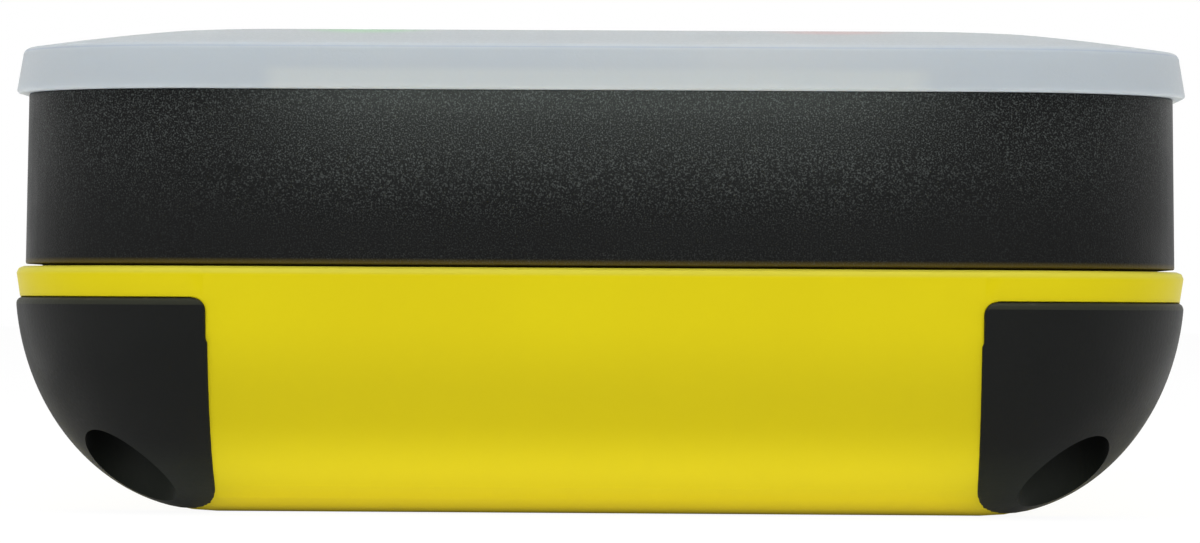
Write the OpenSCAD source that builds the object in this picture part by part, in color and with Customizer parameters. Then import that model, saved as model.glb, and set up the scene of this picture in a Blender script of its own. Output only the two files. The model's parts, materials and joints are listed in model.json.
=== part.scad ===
// Rugged handheld navigator: a yellow boat-shaped rear shell with four rubber corner
// bumpers, a black mid housing with the display and keypad, and a frosted press-on cover.
// X is the width, Y the length with the user's end at -Y, Z points out of the display face.

/* [Body] */
// Width over the corner bumpers
body_w = 80; // [78:0.5:92]
// Length over the corner bumpers
body_l = 140; // [138:0.5:165]
// Plan radius of the corners over the bumpers
corner_r = 14; // [14:0.1:14.2]
// Height of the rear shell's rim
rim_z = 16.7; // [16.6:0.1:20]
// Height of the open groove between the rear shell and the mid housing
groove_h = 0.15; // [0.1:0.05:0.5]
// Height of the mid housing's visible band
band_h = 11.65; // [11.5:0.05:16]

/* [Rear shell] */
// Horizontal reach of the curved side under the body
hull_run = 13.5; // [11:0.1:13.6]
// How far below the rim the curve starts
hull_start = 1; // [0.8:0.1:2]
// Thickness of the shell's side wall
shell_wall = 1.5; // [1.4:0.05:1.8]
// Thickness of the shell's floor
floor_t = 2; // [1.8:0.1:3]
// Depth of the ledge that carries the joint seal, measured down from the rim
seal_ledge = 3.5; // [3:0.1:4]

/* [Corner bumpers] */
// How far a bumper stands proud of the shell
bumper_proud = 0.3; // [0.1:0.05:0.6]
// Thickness of a bumper's rubber
bumper_t = 1.2; // [0.9:0.05:1.3]
// Reach of a bumper along each side from the body's corner
bumper_reach = 14.2; // [14.2:0.1:17]
// Depth of a bumper's top edge below the shell's rim
bumper_drop = 2.1; // [1.8:0.1:3.2]
// Chamfer along a bumper's top edge
bumper_edge = 0.45; // [0.1:0.05:0.8]
// Radius of a bumper's two upper corners
bumper_corner = 0.9; // [0.3:0.1:1.5]
// Radius of its inner corner on the back
bumper_foot = 7; // [2:0.5:7.5]

/* [Mid housing] */
// Inset of the housing's foot from the body's outline
housing_in = 0.7; // [0.5:0.05:1]
// Draft of the band, as inset from foot to shoulder
housing_draft = 0.175; // [0:0.025:0.3]
// Thickness of the housing's wall
housing_wall = 2.2; // [1.9:0.1:2.6]
// Thickness of the tongue that plugs into the rear shell
tongue_t = 1.1; // [0.8:0.05:1.3]
// Height of the neck that the cover presses onto
neck_h = 1.5; // [1.2:0.1:1.7]
// Thickness of the flange that carries the face plate
flange_t = 1.2; // [0.8:0.1:1.6]
// Width of the flange
flange_w = 2.1; // [1:0.1:2.6]

/* [Cover] */
// Height of the cover's skirt
skirt_h = 2.95; // [2.8:0.05:4]
// Rise of the cover's top above its skirt
cover_rise = 1.75; // [1.4:0.05:3]
// Length of the sloping edge of the cover's top
cover_slope = 17; // [14:0.5:20]
// Flare of the skirt, from its top edge out to its lip
skirt_flare = 0.4; // [0:0.05:0.5]
// Thickness of the cover's top
cover_t = 1.2; // [0.8:0.05:1.3]
// Inset of the skirt's inner face from the body's outline
skirt_in = 1.35; // [1.2:0.05:1.45]
// Length of the locating rib inside each end of the cover
rib_w = 43.6; // [20:0.2:46]
// Thickness of the locating rib
rib_t = 0.45; // [0.3:0.05:0.5]

/* [Face plate and display] */
// Thickness of the face plate
plate_t = 1.8; // [1.6:0.1:2.2]
// Width of the display window
window_w = 50; // [36:1:52]
// Length of the display window
window_l = 52; // [36:1:53]
// Place of the display's centre along the body
display_y = 11; // [10.5:0.5:12]
// Ledge on which the lens sits, round the window
lens_ledge = 3; // [2:0.5:3.5]
// Thickness of the lens
lens_t = 1.2; // [0.8:0.1:1.3]
// Corner radius of the lens
lens_r = 3; // [1:0.5:6]
// Margin of the display frame round the window
frame_margin = 4; // [3.5:0.5:4]
// Height of the display frame
frame_h = 4.6; // [4.2:0.1:5]
// Thickness of the foam gasket over the display frame
gasket_t = 0.3; // [0.2:0.1:0.6]
// Thickness of the frame's sheet metal
frame_t = 0.4; // [0.3:0.05:0.6]
// Thickness of the display glass
glass_t = 1.6; // [1:0.1:1.8]
// Thickness of the backlight guide
guide_t = 2; // [1:0.1:2.1]
// Width of the display's flexible lead
flex_w = 24; // [10:1:40]
// Thickness of the flexible lead
flex_t = 0.15; // [0.1:0.05:0.3]

/* [Keys] */
// Travel of each key
key_travel = 0.6; // [0.3:0.05:0.8]
// Height that the keys stand out of the face plate
key_stand = 0.9; // [0.6:0.1:1.1]
// Height that the zoom rocker stands out of the face plate
rocker_stand = 0.6; // [0.3:0.1:0.8]
// Extra height of the crown on the green and red keys
crown_h = 0.25; // [0.1:0.05:0.3]
// Gap round each key in the face plate
key_gap = 0.25; // [0.2:0.05:0.35]
// Width of the collar that holds a key under the face plate
collar_w = 0.7; // [0.5:0.05:0.8]
// Thickness of that collar
collar_t = 0.75; // [0.5:0.05:0.9]
// Diameter of the green and red keys
call_d = 6.5; // [5.5:0.5:8]
// Distance of the green and red keys from the middle
call_x = 16; // [14:0.5:17]
// Distance of the green and red keys from the user's end
call_end = 15; // [14:0.5:15.5]
// Distance of the key cluster's centre from the user's end
pad_end = 28; // [27.5:0.5:28.5]
// Diameter of the enter key
enter_d = 9; // [6:0.5:9.5]
// Distance of the arrow keys from the enter key's centre
arrow_r = 9; // [8.5:0.5:9]
// Length of an arrow key across its direction
arrow_w = 7; // [5:0.5:7.5]
// Length of an arrow key along its direction
arrow_l = 5; // [4:0.5:5]
// Distance of the zoom rocker, menu and page keys from the body's sides
side_edge = 15; // [14:0.5:16]
// Width of the zoom rocker and of the menu and page keys
side_w = 8; // [6:0.5:8]
// Length of the zoom rocker
rocker_l = 19; // [14:0.5:20]
// Length of the menu and page keys
side_l = 7.5; // [5:0.5:8]
// Spacing of the menu and page keys
side_pitch = 12; // [11.5:0.5:12]
// Corner radius of the rectangular keys
key_r = 1.5; // [0.5:0.1:1.9]
// Diameter of the rocker's pin
pin_d = 1.2; // [1:0.1:1.2]
// Depth of the rocker's pin below the face
pin_depth = 1.1; // [1:0.05:1.1]
// Radial running clearance on pins
running_gap = 0.05; // [0.03:0.01:0.08]

/* [Boards and electronics] */
// Thickness of the main board
board_t = 1.6; // [1:0.1:1.6]
// Inset of the main board from the body's outline
board_in = 4.8; // [4.8:0.1:5.2]
// Thickness of the keypad mat's sheet
mat_t = 1.7; // [1.2:0.1:2]
// Height of a snap dome on the board
dome_h = 0.35; // [0.2:0.05:0.5]
// Diameter of a snap dome
dome_d = 4.8; // [3:0.2:5]
// Side of the square patch antenna
patch_w = 16; // [12:0.5:16]
// Thickness of the patch antenna's ceramic
patch_t = 4; // [2:0.1:4.2]
// Thickness of the patch antenna's ground plate
ground_t = 0.4; // [0.3:0.1:0.6]
// Height of the shield can under the board
can_h = 2.2; // [1.2:0.1:2.4]
// Width of the shield can
can_w = 30; // [20:1:40]
// Length of the shield can
can_l = 34; // [20:1:40]
// Height of the chips under the board
chip_h = 1.4; // [0.8:0.1:2.2]
// Diameter of the backup cell
coin_d = 12.5; // [9:0.5:16]
// Thickness of the backup cell
coin_t = 2; // [1.2:0.1:2.2]
// Diameter of the beeper
beeper_d = 12; // [8:0.5:14]
// Height of the beeper
beeper_h = 2.3; // [1.5:0.1:3]
// Distance of the backup cell and the beeper from the middle
under_x = 20; // [17:0.5:24]
// Place of the backup cell and the beeper along the body
under_y = 32; // [28:0.5:38]
// Distance of the board's posts from the body's sides
post_in = 7; // [6.6:0.1:7.4]
// Diameter of the board's posts
post_d = 4.4; // [4:0.1:4.6]

/* [Battery bay] */
// Diameter of one cell
cell_d = 14.5; // [12:0.1:14.5]
// Length of one cell with its cap
cell_l = 50.5; // [40:0.5:51]
// Diameter of the cell's positive cap
cap_d = 5.5; // [4:0.1:6]
// Height of the cell's positive cap
cap_h = 1.2; // [0.8:0.1:1.5]
// Clearance round the cells in the bay
cell_gap = 0.4; // [0.2:0.05:0.6]
// Room for the contact spring at each cell's base
spring_room = 3.4; // [2.4:0.1:4]
// Thickness of the contacts' sheet metal
contact_t = 0.4; // [0.25:0.05:0.5]
// Thickness of the bay's walls
bay_wall = 1.3; // [1:0.05:1.5]
// Place of the bay's centre along the body
bay_y = -14; // [-14.5:0.5:-12]

/* [Battery door] */
// Depth of the door's face above the rest plane
door_recess = 0.3; // [0.2:0.05:0.5]
// Thickness of the door
door_t = 1.6; // [1.4:0.05:2]
// Thickness of the door's seal
door_seal_t = 0.4; // [0.3:0.05:0.6]
// Overlap of the door on its seat round the bay
door_lap = 2.2; // [1.8:0.1:2.6]
// Gap round the door's edge
door_gap = 0.3; // [0.2:0.05:0.4]
// Corner radius of the door
door_r = 3; // [1:0.5:3.5]
// Diameter of the captive screw's head
knob_d = 7.2; // [6:0.1:7.4]
// Thickness of the captive screw's head
knob_t = 1.1; // [0.8:0.05:1.2]
// Width of the coin slot
slot_w = 1.3; // [0.8:0.1:1.6]

/* [Far end] */
// Distance of the data port and the lanyard recess from the middle
end_x = 16; // [15.8:0.1:16.5]
// Width of the port's hinged cover
flap_w = 15; // [13:0.5:16]
// Height of the port's hinged cover above its pivot
flap_h = 7.3; // [7:0.1:7.4]
// Thickness of the port's hinged cover
flap_t = 1.2; // [1:0.05:1.3]
// Diameter of the hinge barrel on the port's cover
barrel_d = 1.8; // [1.8:0.1:2]
// Diameter of the port cover's hinge pin
flap_pin_d = 0.9; // [0.7:0.1:1]
// Width of the socket
socket_w = 9; // [7:0.5:9]
// Height of the socket
socket_h = 3.5; // [3:0.1:3.6]
// Length of the socket
socket_l = 6.6; // [5:0.1:7]
// Thickness of the socket's metal
socket_t = 0.4; // [0.3:0.05:0.5]
// Diameter of the power button
power_d = 7; // [6:0.5:7]
// Height that the power button stands out of the far end
power_out = 0.7; // [0.4:0.1:0.8]
// Travel of the power button
power_travel = 0.7; // [0.4:0.05:0.7]
// Width of the lanyard recess
lanyard_w = 12; // [11.4:0.1:12]
// Depth of the lanyard recess
lanyard_depth = 8.5; // [8.3:0.1:9]
// Height of the lanyard recess
lanyard_h = 8.6; // [7:0.1:8.8]
// Diameter of the lanyard pin
lanyard_pin_d = 2.4; // [1.6:0.1:2.4]
// Depth of the lanyard pin's axis inside the end face
lanyard_pin_in = 1.8; // [1.5:0.1:2]

/* [Screws and inserts] */
// Distance of the case screws from the body's sides
screw_in = 8.5; // [8.3:0.1:8.8]
// Diameter of the recess in which a case screw sits
recess_d = 6.2; // [5.8:0.1:6.4]
// Wall of the rubber sleeve that lines the recess
sleeve_t = 0.6; // [0.4:0.1:0.8]
// Height of the screw head's seat
seat_z = 12.5; // [11:0.1:13]
// Diameter of the case screws' thread
case_thread_d = 3; // [2.5:0.1:3]
// Length of the case screws under the head
case_screw_l = 10; // [9:0.1:10.2]
// Diameter of the case screws' head
case_head_d = 5.4; // [4.6:0.1:5.6]
// Height of the case screws' head
case_head_h = 2.6; // [1.6:0.1:3]
// Outer diameter of the brass inserts
insert_d = 4.6; // [4:0.1:4.8]
// Length of the brass inserts
insert_l = 6; // [4:0.1:6.2]
// Diameter of the board screws' thread
board_thread_d = 2; // [1.6:0.1:2.2]
// Diameter of the board screws' head
board_head_d = 3.8; // [3:0.1:4]
// Tapped diameter of the bracket insert in the back
bracket_hole_d = 5.1; // [4:0.1:5.2]
// Outer diameter of the bracket insert
bracket_insert_d = 8; // [7:0.1:8.4]
// Length of the bracket insert
bracket_insert_l = 7; // [5:0.1:9]
// Place of the bracket insert along the body
bracket_y = 40; // [38:0.5:44]

/* [Hidden] */
$fn = 48;
// Facets in each corner arc, steps down the curved side and along the cover's slope
arc_steps = 14;
hull_steps = 12;
slope_steps = 7;
// Facets round the crown of a key
crown_fn = 96;
// Thin gap between parts of one body, and overshoot of a cut
fit = 0.05;
over = 1;
// Smallest plan radius on the hull and on the cover's top
hull_least_r = 0.2;
cover_least_r = 3;
// Inset of the shell's rim and rounding of its upper edge
rim_in = 0.08;
rim_round = 0.45;
// Inset of the cover's lip, roundings of the lip and of the skirt's upper edge, and where
// the middle of such a rounding lies
lip_in = 0.05;
lip_round = 0.2;
edge_round = 0.38;
round_share = 0.3;
// Exponent of the cover's slope
slope_power = 1.5;
// Sliding clearance between the cover and the neck
cover_gap = 0.1;
// Height of the locating rib over the shoulder, and its clearance at each end
rib_lift = 0.25;
rib_side = 0.6;
// Height of the joint seal, and of the slope under its ledge
seal_t = 1.2;
ledge_foot = 1.6;
// Walls round the case screws, the door's inserts and the bracket insert
boss_wall = 1;
insert_wall = 1.7;
bracket_wall = 2;
// Clearance round a screw's thread and an insert's bore
thread_gap = 0.2;
insert_gap = 0.05;
// Height of the case inserts over the housing's foot, and cap over the door's inserts
insert_lift = 0.35;
insert_cap = 0.6;
// Cross in a screw's head: its span and depth as shares of the head, and its slot widths
cross_span = 0.64;
cross_depth = 0.45;
case_cross_w = 0.9;
board_cross_w = 0.5;
// Height of the board screws' head, and depth of their thread in the posts
board_head_h = 1.3;
board_thread_in = 2.8;
board_hole_gap = 0.15;
// Door: height of the boss round its screws, radial gap of the boss, sink and rim of the
// screw's head, gap round it, how far the screw ends short of its insert, and seal's width
knob_boss_h = 2.8;
boss_gap = 0.2;
knob_sink = 0.2;
knob_rim = 0.6;
knob_gap = 0.3;
screw_short = 0.8;
door_seal_w = 1.2;
// Clearance of the main board, of the keypad mat and of the display's layers
board_gap = 0.5;
mat_gap = 0.4;
layer_gap = 0.1;
// Margin of the gasket's opening round the window
sight = 0.5;
// Foot of the display's lead on the board, and height of its rise
flex_foot = 1.8;
flex_rise = 1.8;
// Wall of the shield can
can_wall = 0.3;
// Chips beside the shield can: width, lengths and gap
chip_w = 8;
chip_long = 14;
chip_short = 10;
chip_gap = 4;
// Sound hole of the beeper
sound_d = 2;
sound_depth = 0.8;
// Gaps between the display frame and the antenna, and between the frame and the far posts
patch_gap = 1.4;
patch_in = 0.5;
post_gap = 0.3;
// Place of the near posts beyond the key cluster's centre, and of the mat's edge
post_up = 12;
mat_edge = 4;
// Chamfers of the round and of the square keys, and plain rim round a crown
key_edge = 0.3;
key_step = 0.25;
crown_rim = 0.8;
// Distance of the rocker's domes from its ends, depth of its groove, and its pin's seats
rocker_dome_in = 3;
rocker_groove = 0.4;
rocker_seat = 1.2;
// Depth of the socket's mouth inside the end face, its base, and the plug's margins
port_depth = 2.8;
socket_base = 1;
plug_over_w = 0.6;
plug_over_h = 0.5;
plug_gap = 0.4;
plug_fit = 0.15;
// Port cover: depth of its face, gap round it, drop of its pivot below the port, walls
// behind, beside and below its recess, and the pin's reach into them
flap_out = 0.1;
flap_gap = 0.3;
flap_drop = 4.4;
port_wall = 1;
port_side = 1.5;
port_low = 1.2;
flap_pin_seat = 0.8;
// Walls round the lanyard recess, and the pin's reach into its roof
lanyard_wall = 1.2;
lanyard_seat = 0.6;
// Power button: its collar's width, thickness and gap under the flange, chamfer, and the
// switch that it presses
power_collar = 0.7;
power_collar_t = 0.9;
power_gap = 0.4;
power_edge = 0.3;
switch_w = 6;
switch_l = 3;
switch_h = 2.4;
plunger_d = 2;
plunger_l = 0.5;

housing_z = rim_z + groove_h;
cover_z = housing_z + band_h;
face_z = cover_z + neck_h;
plate_z = face_z - plate_t;
edge_z = cover_z + skirt_h;
top_z = edge_z + cover_rise;
hull_mid = rim_z - hull_start;
cavity_in = bumper_proud + shell_wall;
ledge_z = rim_z - seal_ledge;
ledge_w = tongue_t + 2 * fit;
bumper_z = rim_z - bumper_drop;
bumper_seat = bumper_t + fit;
skin_t = bumper_seat + (cavity_in - bumper_seat) / 2;
corner_x = body_w / 2 - corner_r;
corner_y = body_l / 2 - corner_r;
bumper_x = body_w / 2 - bumper_reach;
bumper_y = body_l / 2 - bumper_reach;
neck_in = skirt_in + cover_gap;
housing_inner = housing_in + housing_wall;
shoulder_in = housing_in + housing_draft;
flange_z = plate_z - flange_t;
board_top = plate_z - gasket_t - frame_h - 2 * fit;
board_z = board_top - board_t;
key_bottom = plate_z - fit - collar_t;
key_grow = 2 * (key_gap + collar_w);
pillar_top = key_bottom - key_travel - 2 * fit;
call_y = call_end - body_l / 2;
pad_y = pad_end - body_l / 2;
side_x = body_w / 2 - side_edge;
frame_w = window_w + 2 * frame_margin;
frame_l = window_l + 2 * frame_margin;
lens_w = window_w + 2 * lens_ledge;
lens_l = window_l + 2 * lens_ledge;
layer_in = 2 * (frame_t + layer_gap);
pin_z = face_z - pin_depth;
screw_x = body_w / 2 - screw_in;
screw_y = body_l / 2 - screw_in;
boss_d = recess_d + 2 * boss_wall;
sleeve_d = recess_d + 2 * sleeve_t;
seat_boss_d = sleeve_d + 2 * (fit + boss_wall);
insert_z = housing_z + insert_lift;
bay_w = 2 * cell_d + 3 * cell_gap;
bay_l = cell_l + spring_room + 2 * contact_t;
seat_door_z = door_recess + door_t + door_seal_t;
bay_top = seat_door_z + cell_d + 2 * cell_gap;
knob_boss_d = knob_d + 2 * boss_wall;
knob_step = bay_l / 2 + bay_wall + knob_boss_d / 2;
door_w = bay_w + 2 * door_lap;
door_l = 2 * knob_step + knob_boss_d;
door_boss_z = door_recess + knob_boss_h;
door_insert_z = door_boss_z + 2 * fit;
end_face = body_l / 2 - shoulder_in;
end_inner = body_l / 2 - housing_inner;
socket_z = board_top + fit;
port_z = socket_z + socket_h / 2;
port_mouth = end_face - port_depth;
plug_w = socket_w + plug_over_w;
plug_h = socket_h + plug_over_h;
flap_y = end_face - flap_out - barrel_d / 2;
flap_z = port_z - flap_drop;
flap_low = flap_z - barrel_d / 2 - flap_gap;
flap_back = flap_y - barrel_d / 2 - flap_gap;
power_z = flange_z - power_gap - power_collar - power_d / 2;
power_back = end_inner - fit - power_collar_t;
switch_y = power_back - power_travel - 2 * fit;
lanyard_z = flange_z - lanyard_h;
patch_y = display_y + frame_l / 2 + patch_gap + patch_w / 2;
post_x = body_w / 2 - post_in;
post_near_y = pad_y + post_up;
post_far_y = display_y + frame_l / 2 + post_gap + post_d / 2;
mat_w = 2 * (post_x - post_d / 2 - mat_gap);
mat_near_y = pad_y - rocker_l / 2 - mat_edge;
mat_far_y = display_y - frame_l / 2 - flex_foot - 2 * mat_gap;

// Lofts through rounded rectangles that follow the body's outline

// Points of the outline, drawn in by an inset
function outline(inset, least) =
    let (r = max(corner_r - inset, least))
    [for (q = [0:3], i = [0:arc_steps])
        let (a = 90 * (q + i / arc_steps),
            sx = q == 0 || q == 3 ? 1 : -1,
            sy = q < 2 ? 1 : -1)
        [sx * (body_w / 2 - inset - r) + r * cos(a), sy * (body_l / 2 - inset - r) + r * sin(a)]];

// Closed solid through equal outlines, each [height, points], from the lowest up
module stack(levels) {
    n = len(levels[0][1]);
    last = len(levels) - 1;
    points = [for (level = levels, p = level[1]) [p[0], p[1], level[0]]];
    sides = [for (k = [0:last - 1], i = [0:n - 1])
        let (a = k * n + i, b = k * n + (i + 1) % n)
        each [[a, a + n, b + n], [a, b + n, b]]];
    foot = [for (i = [0:n - 1]) i];
    head = [for (i = [n - 1:-1:0]) last * n + i];
    polyhedron(points, concat([foot], sides, [head]), convexity = 6);
}

// Stack of outlines from rows of [height, inset]
module loft(rows, least = hull_least_r) {
    stack([for (row = rows) [row[0], outline(row[1], least)]]);
}

// Inset of the boat-shaped side at a height, where the side is moved in by a depth and its
// lowest point is at a height of its own
function side_in(z, depth, low) =
    depth + (hull_run - depth) * (1 - sqrt(1 - pow((hull_mid - z) / (hull_mid - low), 2)));

// Points [inset, height] down the boat-shaped side, from a height to its lowest point
function side_down(from_z, depth, low) =
    let (start = asin((hull_mid - from_z) / (hull_mid - low)))
    [for (i = [0:hull_steps])
        let (z = hull_mid - (hull_mid - low) * sin(start + (90 - start) * i / hull_steps))
        [side_in(z, depth, low), z]];

function side_up(from_z, depth, low) =
    let (down = side_down(from_z, depth, low))
    [for (i = [hull_steps:-1:0]) down[i]];

// Walls from a section of [inset, height] points: along the ends, the sides and the corners
module end_run(section, x0, x1) {
    translate([x0, 0, 0]) rotate([90, 0, 90]) linear_extrude(x1 - x0)
        polygon([for (p = section) [body_l / 2 - p[0], p[1]]]);
}

module side_run(section, y0, y1) {
    translate([0, y1, 0]) rotate([90, 0, 0]) linear_extrude(y1 - y0)
        polygon([for (p = section) [body_w / 2 - p[0], p[1]]]);
}

module corner_run(section) {
    translate([corner_x, corner_y, 0]) rotate_extrude(angle = 90)
        polygon([for (p = section) [corner_r - p[0], p[1]]]);
}

module quadrants() {
    for (sx = [0, 1], sy = [0, 1])
        mirror([sx, 0, 0]) mirror([0, sy, 0]) children();
}

// Exact prism of the body's outline
module plan(inset) {
    r = corner_r - inset;
    hx = body_w / 2 - corner_r;
    hy = body_l / 2 - corner_r;
    square([2 * (hx + r), 2 * hy], center = true);
    square([2 * hx, 2 * (hy + r)], center = true);
    for (x = [-hx, hx], y = [-hy, hy])
        translate([x, y]) circle(r);
}

module slab(z, h, inset) {
    translate([0, 0, z]) linear_extrude(h) plan(inset);
}

// Block on a centre in plan and a foot height
module block(x, y, z, w, l, h) {
    translate([x - w / 2, y - l / 2, z]) cube([w, l, h]);
}

// Block with round vertical edges
module round_block(x, y, z, w, l, h, r) {
    translate([x, y, z]) linear_extrude(h) {
        square([w - 2 * r, l], center = true);
        square([w, l - 2 * r], center = true);
        for (sx = [-1, 1], sy = [-1, 1])
            translate([sx * (w / 2 - r), sy * (l / 2 - r)]) circle(r);
    }
}

module rod(x, y, z, h, d) {
    translate([x, y, z]) cylinder(h = h, d = d);
}

module at_screws() {
    for (x = [-screw_x, screw_x], y = [-screw_y, screw_y])
        translate([x, y, 0]) children();
}

module at_posts() {
    for (x = [-post_x, post_x], y = [post_near_y, post_far_y])
        translate([x, y, 0]) children();
}

module at_knobs() {
    for (y = [bay_y - knob_step, bay_y + knob_step])
        translate([0, y, 0]) children();
}

// Rear shell

// Inner face of the shell's wall, from the floor up over the seal's ledge to the rim
cavity_section = concat([[corner_r, floor_t]],
    side_up(ledge_z - ledge_foot, cavity_in, floor_t),
    [[cavity_in + ledge_w, ledge_z - seal_t / 2], [cavity_in + ledge_w, ledge_z],
        [cavity_in, ledge_z], [cavity_in, rim_z]]);

rim_edge = [[rim_in, rim_z - rim_round],
    [rim_in + round_share * rim_round, rim_z - round_share * rim_round],
    [rim_in + rim_round, rim_z]];

// Inset of the band under the rim, which flares out to the rim
function flare_in(z) =
    let (foot = side_in(bumper_z, 0, 0) + bumper_proud)
    foot + (rim_in - foot) * (z - bumper_z) / (rim_z - rim_round - bumper_z);

// Section between the bumpers, and section under a bumper
open_section = concat([[corner_r, 0]],
    [for (p = side_up(bumper_z, 0, 0)) [p[0] + bumper_proud, p[1]]],
    rim_edge,
    [for (i = [len(cavity_section) - 1:-1:0]) cavity_section[i]]);
corner_section = concat([[corner_r, bumper_seat]],
    side_up(bumper_z, bumper_seat, bumper_seat),
    [[side_in(bumper_z, bumper_seat, bumper_seat), bumper_z + fit],
        [flare_in(bumper_z + fit), bumper_z + fit]],
    rim_edge,
    [for (i = [len(cavity_section) - 1:-1:0]) cavity_section[i]]);

// Skin that fills the seat beside a bumper's rounded corners, down to within the wall
skin_section = concat([[corner_r, 0]],
    [for (p = side_up(bumper_z, 0, 0)) [p[0] + bumper_proud, p[1]]],
    [[flare_in(bumper_z + fit), bumper_z + fit], [side_in(bumper_z, skin_t, skin_t), bumper_z + fit]],
    side_down(bumper_z, skin_t, skin_t),
    [[corner_r, skin_t]]);

// What may stand inside a corner: everything within the wall and clear of the tongue
core_section = concat([[corner_r, bumper_seat]],
    side_up(ledge_z - ledge_foot, bumper_seat, bumper_seat),
    [[cavity_in + ledge_w, ledge_z - ledge_foot], [cavity_in + ledge_w, rim_z], [corner_r, rim_z]]);

// What a bumper's rounded upper corners leave to the shell, on the end and on the side
module end_round(top) {
    difference() {
        translate([bumper_x, corner_y, bumper_z - bumper_corner])
            cube([bumper_corner, corner_r + over, bumper_corner + top]);
        translate([bumper_x + bumper_corner, corner_y - over, bumper_z - bumper_corner])
            rotate([-90, 0, 0]) cylinder(h = corner_r + 3 * over, r = bumper_corner);
    }
}

module side_round(top) {
    difference() {
        translate([corner_x, bumper_y, bumper_z - bumper_corner])
            cube([corner_r + over, bumper_corner, bumper_corner + top]);
        translate([corner_x - over, bumper_y + bumper_corner, bumper_z - bumper_corner])
            rotate([0, 90, 0]) cylinder(h = corner_r + 3 * over, r = bumper_corner);
    }
}

// What a bumper's rounded corner on the back leaves to the shell
module foot_round(top) {
    difference() {
        translate([bumper_x, bumper_y, -over]) cube([bumper_foot, bumper_foot, over + top]);
        translate([bumper_x + bumper_foot, bumper_y + bumper_foot, -2 * over])
            cylinder(h = top + 3 * over, r = bumper_foot);
    }
}

module shell_hull() {
    for (s = [0, 1]) {
        mirror([0, s, 0]) end_run(open_section, -bumper_x, bumper_x);
        mirror([s, 0, 0]) side_run(open_section, -bumper_y, bumper_y);
    }
    quadrants() {
        intersection() {
            union() {
                end_run(skin_section, bumper_x, corner_x);
                side_run(skin_section, bumper_y, corner_y);
                corner_run(skin_section);
                translate([bumper_x, bumper_y, 0])
                    cube([corner_x - bumper_x, corner_y - bumper_y, skin_t]);
            }
            union() {
                end_round(fit);
                side_round(fit);
                foot_round(ledge_z - ledge_foot);
            }
        }
        end_run(corner_section, bumper_x, corner_x);
        side_run(corner_section, bumper_y, corner_y);
        corner_run(corner_section);
    }
    difference() {
        block(0, 0, 0, 2 * corner_x, 2 * corner_y, floor_t);
        quadrants() translate([bumper_x, bumper_y, -over]) cube([corner_r, corner_r, bumper_seat + over]);
    }
}

module bay_body() {
    frame = 2 * bay_wall;
    block(0, bay_y, floor_t, bay_w + frame, bay_l + frame, bay_top + bay_wall - floor_t);
    block(0, bay_y, floor_t - fit, door_w + frame, door_l + frame, seat_door_z + bay_wall - floor_t);
    at_knobs()
        rod(0, 0, floor_t, door_insert_z + insert_l + insert_cap - floor_t, insert_d + 2 * insert_wall);
}

module bay_cuts() {
    block(0, bay_y, 0, bay_w, bay_l, bay_top);
    grow = 2 * door_gap;
    round_block(0, bay_y, -over, door_w + grow, door_l + grow, seat_door_z + over, door_r + door_gap);
    at_knobs() {
        rod(0, 0, 0, door_boss_z + 2 * fit, knob_boss_d + grow);
        rod(0, 0, 0, door_insert_z + insert_l, insert_d);
    }
}

module rear_shell() {
    color("gold") difference() {
        union() {
            shell_hull();
            quadrants() intersection() {
                rod(screw_x, screw_y, bumper_seat, rim_z - bumper_seat, seat_boss_d);
                corner_run(core_section);
            }
            bay_body();
            rod(0, bracket_y, floor_t - fit, bracket_insert_l, bracket_insert_d + 2 * bracket_wall);
        }
        bay_cuts();
        at_screws() {
            rod(0, 0, -over, seat_z + over, sleeve_d + 2 * fit);
            rod(0, 0, 0, rim_z + over, case_thread_d + 2 * thread_gap);
        }
        rod(0, bracket_y, -over, bracket_insert_l + over, bracket_insert_d);
    }
}

// Rubber bumper on the +X +Y corner, wrapping the curved side

bumper_section = concat([[corner_r, 0]],
    side_up(bumper_z - bumper_edge, 0, 0),
    [[side_in(bumper_z, 0, 0) + bumper_edge, bumper_z]],
    side_down(bumper_z, bumper_t, bumper_t),
    [[corner_r, bumper_t]]);

// The whole corner under the bumpers' upper edge
hull_section = concat([[corner_r, 0]], side_up(bumper_z, 0, 0), [[corner_r, bumper_z]]);

module corner_bumper() {
    color("dimgray") difference() {
        union() {
            end_run(bumper_section, bumper_x, corner_x);
            side_run(bumper_section, bumper_y, corner_y);
            corner_run(bumper_section);
            translate([bumper_x, bumper_y, 0])
                cube([corner_x - bumper_x, corner_y - bumper_y, bumper_t]);
            intersection() {
                rod(screw_x, screw_y, 0, seat_z - fit, sleeve_d);
                corner_run(hull_section);
            }
        }
        rod(screw_x, screw_y, -over, seat_z + over, recess_d);
        end_round(over);
        side_round(over);
        foot_round(ledge_z - ledge_foot);
    }
}

module bumper_far_right() { corner_bumper(); }
module bumper_far_left() { mirror([1, 0, 0]) corner_bumper(); }
module bumper_near_right() { mirror([0, 1, 0]) corner_bumper(); }
module bumper_near_left() { rotate([0, 0, 180]) corner_bumper(); }

// Joint seal between the shell's ledge and the housing's tongue

module case_seal() {
    color("black") difference() {
        loft([[ledge_z, cavity_in + fit], [ledge_z + seal_t, cavity_in + fit]]);
        loft([[ledge_z - over, cavity_in + fit + tongue_t], [rim_z, cavity_in + fit + tongue_t]]);
    }
}

// Mid housing

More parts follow.
